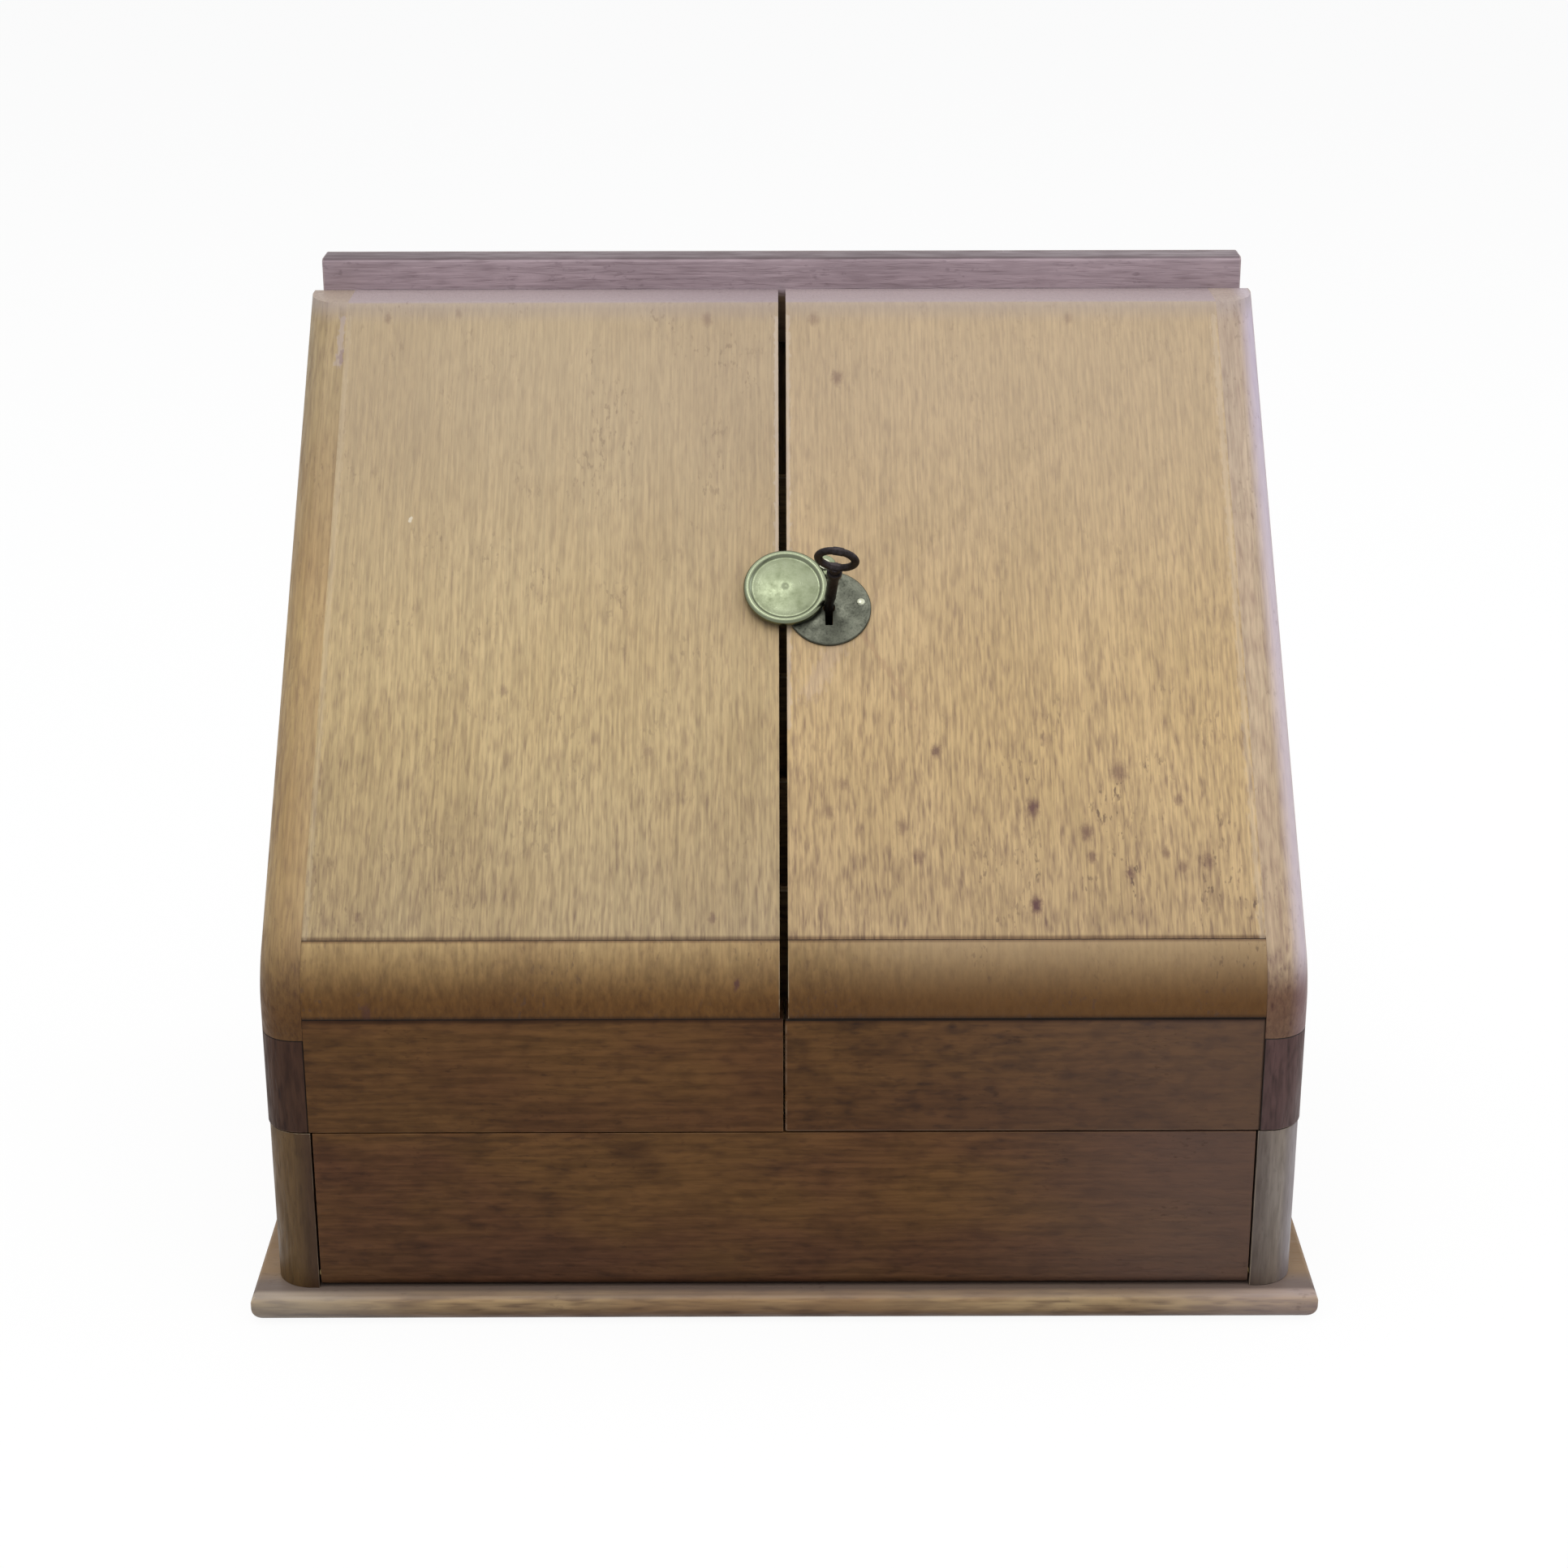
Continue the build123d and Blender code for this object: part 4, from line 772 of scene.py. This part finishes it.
hinge_brass = metal("hinge_brass", (0.44, 0.33, 0.15), (0.16, 0.11, 0.05), 0.34)
for side in ("left", "right"):
    dress(f"hinge_frame_leaves_{side}", "carcass", hinge_brass, arris=0.00015)
    dress(f"hinge_door_leaves_{side}", f"{side}_door", hinge_brass, arris=0.00015)
dress("hinge_pins", "carcass", hinge_brass, arris=0.00025)
dress("fall_front_pins", "carcass", hinge_brass, arris=0.0002)

# ---- Lock, keeper and slide bolt ----
# A brass box lock screwed inside the right door, its steel bolt, the keeper on the left door, and a
# small slide bolt that holds the left door to the deck.
bolt_steel = metal("bolt_steel", (0.34, 0.33, 0.31), (0.15, 0.13, 0.115), 0.3)
dress("lock_case", "right_door", hinge_brass, arris=0.00015)
dress("lock_keeper", "left_door", hinge_brass, arris=0.00015)
dress("slide_bolt_plate", "left_door", hinge_brass, arris=0.00015)
dress("slide_bolt", "slide_bolt", hinge_brass, arris=0.0003)
dress("lock_bolt", "lock_bolt", bolt_steel, arris=0.0002)

# ---- Slotted screws ----
# Small countersunk brass wood screws hold the hinges, lock, keeper and slide bolt. Their slots stand
# at odd angles, as a hand driver left them.
screw_brass = metal("screw_brass", (0.40, 0.30, 0.13), (0.12, 0.085, 0.04), 0.36, speckle=0.6)
screw_sizes = {
    "Head Radius": 0.0022,
    "Head Height": 0.0011,
    "Shank Radius": 0.001,
    "Tip Radius": 0.0003,
    "Length": 0.009,
    "Slot Width": 0.00055,
    "Slot Depth": 0.0006,
}


def new_tree(name, sizes):
    """An empty Geometry Nodes tree with a named input for each size and one for the finish."""
    tree = bpy.data.node_groups.new(name, "GeometryNodeTree")
    tree.interface.new_socket("Geometry", in_out="INPUT", socket_type="NodeSocketGeometry")
    for label, value in sizes.items():
        socket = tree.interface.new_socket(label, in_out="INPUT", socket_type="NodeSocketFloat")
        socket.default_value = value
    tree.interface.new_socket("Finish", in_out="INPUT", socket_type="NodeSocketMaterial")
    tree.interface.new_socket("Geometry", in_out="OUTPUT", socket_type="NodeSocketGeometry")
    return tree, add_node(tree, "NodeGroupInput").outputs


def set_on_points(tree, taken, shape, seed):
    """Ends a tree: the shape stands on each point, along its facing, turned by a fixed chance angle."""
    facing = add_node(tree, "GeometryNodeInputNamedAttribute", {"Name": "facing"}, data_type="FLOAT_VECTOR")
    limits = {"Min": 0.0, "Max": math.pi, "Seed": seed}
    chance = add_node(tree, "FunctionNodeRandomValue", limits, data_type="FLOAT")
    upright = add_node(
        tree, "FunctionNodeAlignRotationToVector", {"Vector": facing.outputs["Attribute"]}, axis="Z"
    ).outputs[0]
    drawn = next(socket for socket in chance.outputs if socket.enabled)
    spin = add_node(tree, "ShaderNodeCombineXYZ", {"Z": drawn}).outputs[0]
    spin = add_node(tree, "FunctionNodeEulerToRotation", {0: spin}).outputs[0]
    turned = add_node(
        tree, "FunctionNodeRotateRotation", {0: upright, 1: spin}, rotation_space="LOCAL"
    ).outputs[0]
    on_points = {"Points": taken["Geometry"], "Instance": shape, "Rotation": turned}
    placed = add_node(tree, "GeometryNodeInstanceOnPoints", on_points).outputs[0]
    solid = add_node(tree, "GeometryNodeRealizeInstances", {0: placed}).outputs[0]
    finish = {"Geometry": solid, "Material": taken["Finish"]}
    finished = add_node(tree, "GeometryNodeSetMaterial", finish).outputs[0]
    add_node(tree, "NodeGroupOutput", {0: finished})


def sunk(tree, shape, depth):
    """The shape moved straight down by depth."""
    down = maths(tree, "MULTIPLY", depth, -1.0)
    offset = add_node(tree, "ShaderNodeCombineXYZ", {"Z": down}).outputs[0]
    return add_node(tree, "GeometryNodeTransform", {"Geometry": shape, "Translation": offset}).outputs[0]


def tapered(tree, vertices, top, bottom, depth):
    """A round stem, from its bottom radius at nought to its top radius at depth."""
    sizes = {"Vertices": vertices, "Radius Top": top, "Radius Bottom": bottom, "Depth": depth}
    return add_node(tree, "GeometryNodeMeshCone", sizes).outputs["Mesh"]


screw_tree, taken = new_tree("slotted_screws", screw_sizes)
head = tapered(screw_tree, 28, taken["Head Radius"], taken["Shank Radius"], taken["Head Height"])
head = sunk(screw_tree, head, taken["Head Height"])
shank = tapered(screw_tree, 28, taken["Shank Radius"], taken["Tip Radius"], taken["Length"])
shank = sunk(screw_tree, shank, taken["Length"])
blank = add_node(screw_tree, "GeometryNodeMeshBoolean", operation="UNION", solver="EXACT")
screw_tree.links.new(head, blank.inputs["Mesh 2"])
screw_tree.links.new(shank, blank.inputs["Mesh 2"])
past_head = maths(screw_tree, "MULTIPLY", taken["Head Radius"], 3.0)
both_sides = maths(screw_tree, "MULTIPLY", taken["Slot Depth"], 2.0)
slot_size = {0: past_head, 1: taken["Slot Width"], 2: both_sides}
slot_size = add_node(screw_tree, "ShaderNodeCombineXYZ", slot_size).outputs[0]
cutter = add_node(screw_tree, "GeometryNodeMeshCube", {"Size": slot_size}).outputs["Mesh"]
slotted = add_node(
    screw_tree,
    "GeometryNodeMeshBoolean",
    {"Mesh 1": blank.outputs["Mesh"], "Mesh 2": cutter},
    operation="DIFFERENCE",
    solver="EXACT",
).outputs["Mesh"]
set_on_points(screw_tree, taken, slotted, 7)


def head_places(names, area, outward=None):
    """Centre and direction of each flat head over the area, or of each flat that faces outward."""
    places = []
    for name in names:
        form = merged_form(name)
        for face in form.faces:
            if face.calc_area() > area and (outward is None or face.normal.dot(outward) > 0.99):
                places.append((face.calc_center_median(), face.normal.copy()))
        form.free()
    return places


def fixings(name, body, nodes, places, tree, sizes, finish):
    """One mesh for all the fixings of a body."""
    mesh = bpy.data.meshes.new(name)
    mesh.from_pydata([place for place, _ in places], [], [])
    facing = mesh.attributes.new("facing", "FLOAT_VECTOR", "POINT")
    for value, (_, direction) in zip(facing.data, places):
        value.vector = direction
    piece = in_scene(name, mesh)
    modifier = piece.modifiers.new(name, "NODES")
    modifier.node_group = tree
    for item in tree.interface.items_tree:
        if item.in_out == "INPUT" and item.name in sizes:
            modifier[item.identifier] = sizes[item.name]
        elif item.name == "Finish":
            modifier[item.identifier] = finish
    settle(piece)
    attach(piece, body)
    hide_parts(*nodes)


for body, nodes in (
    ("carcass", ["hinge_frame_screws_left", "hinge_frame_screws_right"]),
    ("left_door", ["hinge_door_screws_left", "keeper_screws", "slide_bolt_screws"]),
    ("right_door", ["hinge_door_screws_right", "lock_screws"]),
):
    places = head_places(nodes, 1.0e-5)
    fixings(f"{body}_screws", body, nodes, places, screw_tree, screw_sizes, screw_brass)

# ---- Escutcheon ----
# A round plate of brass gone grey green, carrying the cover's rivet. Two domed pins, brighter
# than the plate, hold it.
out_of_slope = -into_slope
aged_brass = metal(
    "aged_brass", (0.097, 0.101, 0.079), (0.035, 0.037, 0.029), 0.36, speckle=0.5, relief=0.2
)
pin_brass = metal("pin_brass", (0.36, 0.37, 0.29), (0.15, 0.15, 0.11), 0.2, speckle=0.2)
dress("escutcheon_plate", "right_door", aged_brass, arris=0.00012)
dress("cover_rivet", "right_door", pin_brass, arris=0.00025)
pin_sizes = {"Head Radius": 0.0017, "Head Height": 0.0006, "Shank Radius": 0.0008, "Length": 0.0076}
pin_tree, taken = new_tree("domed_pins", pin_sizes)
ball = {"Segments": 28, "Rings": 14, "Radius": 1.0}
dome = add_node(pin_tree, "GeometryNodeMeshUVSphere", ball).outputs["Mesh"]
flattened = {0: taken["Head Radius"], 1: taken["Head Radius"], 2: taken["Head Height"]}
flattened = add_node(pin_tree, "ShaderNodeCombineXYZ", flattened).outputs[0]
dome = add_node(pin_tree, "GeometryNodeTransform", {"Geometry": dome, "Scale": flattened}).outputs[0]
dome = sunk(pin_tree, dome, taken["Head Height"])
dome = add_node(pin_tree, "GeometryNodeSetShadeSmooth", {0: dome}).outputs[0]
under_head = maths(pin_tree, "SUBTRACT", taken["Length"], taken["Head Height"])
shank = tapered(pin_tree, 16, taken["Shank Radius"], taken["Shank Radius"], under_head)
shank = sunk(pin_tree, shank, taken["Length"])
joined = add_node(pin_tree, "GeometryNodeJoinGeometry")
pin_tree.links.new(dome, joined.inputs[0])
pin_tree.links.new(shank, joined.inputs[0])
set_on_points(pin_tree, taken, joined.outputs[0], 3)
places = head_places(["escutcheon_pins"], 1.0e-6, out_of_slope)
fixings("plate_pins", "right_door", ["escutcheon_pins"], places, pin_tree, pin_sizes, pin_brass)

# ---- Swinging cover ----
# Turned brass disc 32 mm across: a raised rim rubbed bright, a sunk ring, a low dome with a centre
# mark, and a lug on the rivet. It has gone a pale green.
cover_radius = 0.016
cover_swing = joints["keyhole_cover_swing"]
across_slope = Vector((1, 0, 0))
up_slope = out_of_slope.cross(across_slope)
corners = [corner.co for corner in frame["nodes"]["keyhole_cover"].data.vertices]
cover_centre = (
    across_slope * (min(corner.dot(across_slope) for corner in corners) + cover_radius)
    + up_slope * (min(corner.dot(up_slope) for corner in corners) + cover_radius)
    + out_of_slope * min(corner.dot(out_of_slope) for corner in corners)
)
rivet_place = Vector(cover_swing["pos_m"])
lug_foot = rivet_place + out_of_slope * (cover_centre - rivet_place).dot(out_of_slope)


def turned_ring(form, profile, foot, segments):
    """A closed shape turned about the slope's normal: the profile gives radius and height in mm."""
    rings = []
    for radius, height in profile:
        level = foot + out_of_slope * height / 1000
        if radius == 0:
            rings.append([form.verts.new(level)])
            continue
        ring = []
        for step in range(segments):
            angle = 2 * math.pi * step / segments
            arm = across_slope * math.cos(angle) + up_slope * math.sin(angle)
            ring.append(form.verts.new(level + arm * radius / 1000))
        rings.append(ring)
    for inner, outer in zip(rings, rings[1:]):
        for step in range(segments):
            after = (step + 1) % segments
            if len(inner) == 1:
                form.faces.new((inner[0], outer[step], outer[after]))
            elif len(outer) == 1:
                form.faces.new((inner[step], outer[0], inner[after]))
            else:
                form.faces.new((inner[step], outer[step], outer[after], inner[after]))


form = bmesh.new()
dome_profile = [(0, 2.3), (0.5, 2.33), (0.9, 2.43), (1.25, 2.52), (1.6, 2.56)]
for radius in (2.4, 3.6, 5, 6.5, 8, 9.4, 10.6, 11.6):
    dome_profile.append((radius, 2.58 - 0.9 * (radius / 12.6) ** 2))
rim_profile = [(12.2, 1.68), (12.6, 1.62), (12.95, 1.68), (13.25, 1.95), (13.6, 2.35), (14.05, 2.56)]
rim_profile += [(14.5, 2.6), (15.0, 2.52), (15.5, 2.28), (15.85, 1.9)]
rim_profile += [(16.0, 1.5), (16.0, 0.35), (15.85, 0.0)]
under_profile = [(15.25, 0.0), (15.1, 0.15), (15.1, 0.7), (12.7, 0.9), (0, 0.9)]
turned_ring(form, dome_profile + rim_profile + under_profile, cover_centre, 96)
lug_profile = [(1.36, 0.0), (1.36, 1.7), (1.5, 1.7), (4.0, 1.7), (4.3, 1.6)]
lug_profile += [(4.4, 1.35), (4.4, 0.2), (4.2, 0.0), (1.36, 0.0)]
turned_ring(form, lug_profile, lug_foot, 40)
bmesh.ops.remove_doubles(form, verts=form.verts, dist=1e-7)
bmesh.ops.recalc_face_normals(form, faces=form.faces)
cover_mesh = bpy.data.meshes.new("swinging_cover")
form.to_mesh(cover_mesh)
form.free()
cover_mesh.shade_smooth()
rim_inside = 0.0133
rim_outside = 0.0161
rubbed = cover_mesh.attributes.new("rubbed", "FLOAT", "FACE")
for face in cover_mesh.polygons:
    arm = face.center - cover_centre
    reach = (arm - out_of_slope * arm.dot(out_of_slope)).length
    rubbed.data[face.index].value = 1.0 if rim_inside < reach < rim_outside else 0.0
pale_brass = metal(
    "pale_brass",
    (0.165, 0.185, 0.122),
    (0.105, 0.122, 0.07),
    0.27,
    speckle=0.25,
    relief=0.1,
    turned_on=(cover_centre, out_of_slope),
)
cover_mesh.materials.append(pale_brass)
swinging_cover = in_scene("swinging_cover", cover_mesh)
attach(swinging_cover, "keyhole_cover")
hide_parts("keyhole_cover")

# ---- Key ----
# Blackened iron: an oval bow filed flat, a collar, a round shank and a plain bit. It hangs loose in
# its worn hole, so the part outside leans to the right and its bow is a little turned.
black_iron = metal("black_iron", (0.045, 0.038, 0.04), (0.014, 0.012, 0.012), 0.4, speckle=0.6, relief=0.3)


def lean_key(form):
    """The key above the plate leans, twists as far as its bow, and is a little stouter in the shank."""
    plate_clear = 0.0035
    bend_heights = (plate_clear, 0.006, 0.009, 0.013, 0.018, 0.023)
    lean = math.tan(math.radians(4.0))
    twist = math.radians(-10.5)
    twist_length = 0.02
    shank_reach = 0.0019
    swell = 0.22
    swell_start = 0.0025
    swell_length = 0.003
    for height in bend_heights:
        bmesh.ops.bisect_plane(
            form,
            geom=form.verts[:] + form.edges[:] + form.faces[:],
            plane_co=key_place - into_slope * height,
            plane_no=into_slope,
        )
    for corner in form.verts:
        out = (key_place - corner.co).dot(into_slope)
        clear = out - plate_clear
        if clear > 0.0:
            on_axis = key_place - into_slope * out
            aside = corner.co - on_axis
            if aside.length < shank_reach:
                aside *= 1.0 + swell * min(max((clear - swell_start) / swell_length, 0.0), 1.0)
            turn = Matrix.Rotation(twist * min(clear / twist_length, 1.0), 3, -into_slope)
            corner.co = on_axis + turn @ aside + Vector((clear * lean, 0.0, 0.0))


dress("key", "key", black_iron, arris=0.0002, bent=lean_key)

# ---- Floor, light and camera ----
# A plain pale floor that keeps the object's shadow, a wide soft lamp overhead with a small one before
# it, a cool one from the right, and a white room.
floor_mesh = bpy.data.meshes.new("floor")
floor_mesh.from_pydata([(-6, -6, 0), (6, -6, 0), (6, 6, 0), (-6, 6, 0)], [], [(0, 1, 2, 3)])
floor = in_scene("floor", floor_mesh)


def seen_rays(tree):
    """One for rays that show the floor or the room, and nought for those that light the object."""
    rays = add_node(tree, "ShaderNodeLightPath").outputs
    seen = maths(tree, "MAXIMUM", rays["Is Camera Ray"], rays["Is Glossy Ray"])
    return maths(tree, "MAXIMUM", seen, rays["Is Transmission Ray"])


floor_paint, tree = new_finish("floor_paint")
shown = add_node(tree, "ShaderNodeBsdfDiffuse", {"Color": (1, 1, 1, 1)}).outputs[0]
white = add_node(tree, "ShaderNodeEmission", {"Color": (1, 1, 1, 1), "Strength": 1.0}).outputs[0]
shown = add_node(tree, "ShaderNodeMixShader", {0: 0.93, 1: shown, 2: white}).outputs[0]
matt = add_node(tree, "ShaderNodeBsdfDiffuse", {"Color": (0.55, 0.55, 0.55, 1)}).outputs[0]
mixed = add_node(tree, "ShaderNodeMixShader", {0: seen_rays(tree), 1: matt, 2: shown}).outputs[0]
add_node(tree, "ShaderNodeOutputMaterial", {"Surface": mixed})
floor_mesh.materials.append(floor_paint)

world = bpy.data.worlds.new("room")
bpy.context.scene.world = world
world.use_nodes = True
tree = world.node_tree
tree.nodes.clear()
ambient = add_node(tree, "ShaderNodeBackground", {"Color": (0.93, 0.96, 1.0, 1), "Strength": 0.42}).outputs[0]
white = add_node(tree, "ShaderNodeBackground", {"Color": (1, 1, 1, 1), "Strength": 1.0}).outputs[0]
mixed = add_node(tree, "ShaderNodeMixShader", {0: seen_rays(tree), 1: ambient, 2: white}).outputs[0]
add_node(tree, "ShaderNodeOutputWorld", {"Surface": mixed})


def softbox(name, place, aim, size, power, colour):
    """A square lamp turned from its place towards its aim."""
    lamp = bpy.data.lights.new(name, "AREA")
    lamp.shape = "SQUARE"
    lamp.size = size
    lamp.energy = power
    lamp.color = colour
    beam = Vector(aim) - Vector(place)
    turn = beam.to_track_quat("-Z", "Y").to_matrix().to_4x4()
    stand = in_scene(name, lamp)
    stand.matrix_world = Matrix.Translation(place) @ turn


softbox("overhead", (0.0, -0.3, 2.0), (0.0, 0.0, 0.2), 3.2, 42.0, (1.0, 0.985, 0.96))
softbox("ceiling_lamp", (-0.16, -0.5, 1.8), (0.0, 0.0, 0.25), 0.35, 3.0, (1.0, 1.0, 1.0))
softbox("from_the_right", (1.6, 0.4, 0.9), (0.0, 0.0, 0.2), 0.9, 5.0, (0.88, 0.92, 1.0))

view_pitch = math.radians(20.85)
view_turn = math.radians(0.085)
view_roll = math.radians(-0.11)
look = Vector(
    (
        math.sin(view_turn) * math.cos(view_pitch),
        math.cos(view_turn) * math.cos(view_pitch),
        -math.sin(view_pitch),
    )
)
lens = bpy.data.cameras.new("camera")
lens.sensor_width = 36.0
lens.lens = 69.727
lens.clip_start = 0.01
camera = in_scene("camera", lens)
standpoint = Vector((-0.0013, front - 0.9901, 0.5885))
turn = look.to_track_quat("-Z", "Y") @ Quaternion((0, 0, 1), view_roll)
camera.matrix_world = Matrix.Translation(standpoint) @ turn.to_matrix().to_4x4()
bpy.context.scene.camera = camera
bpy.context.scene.view_settings.view_transform = "Standard"
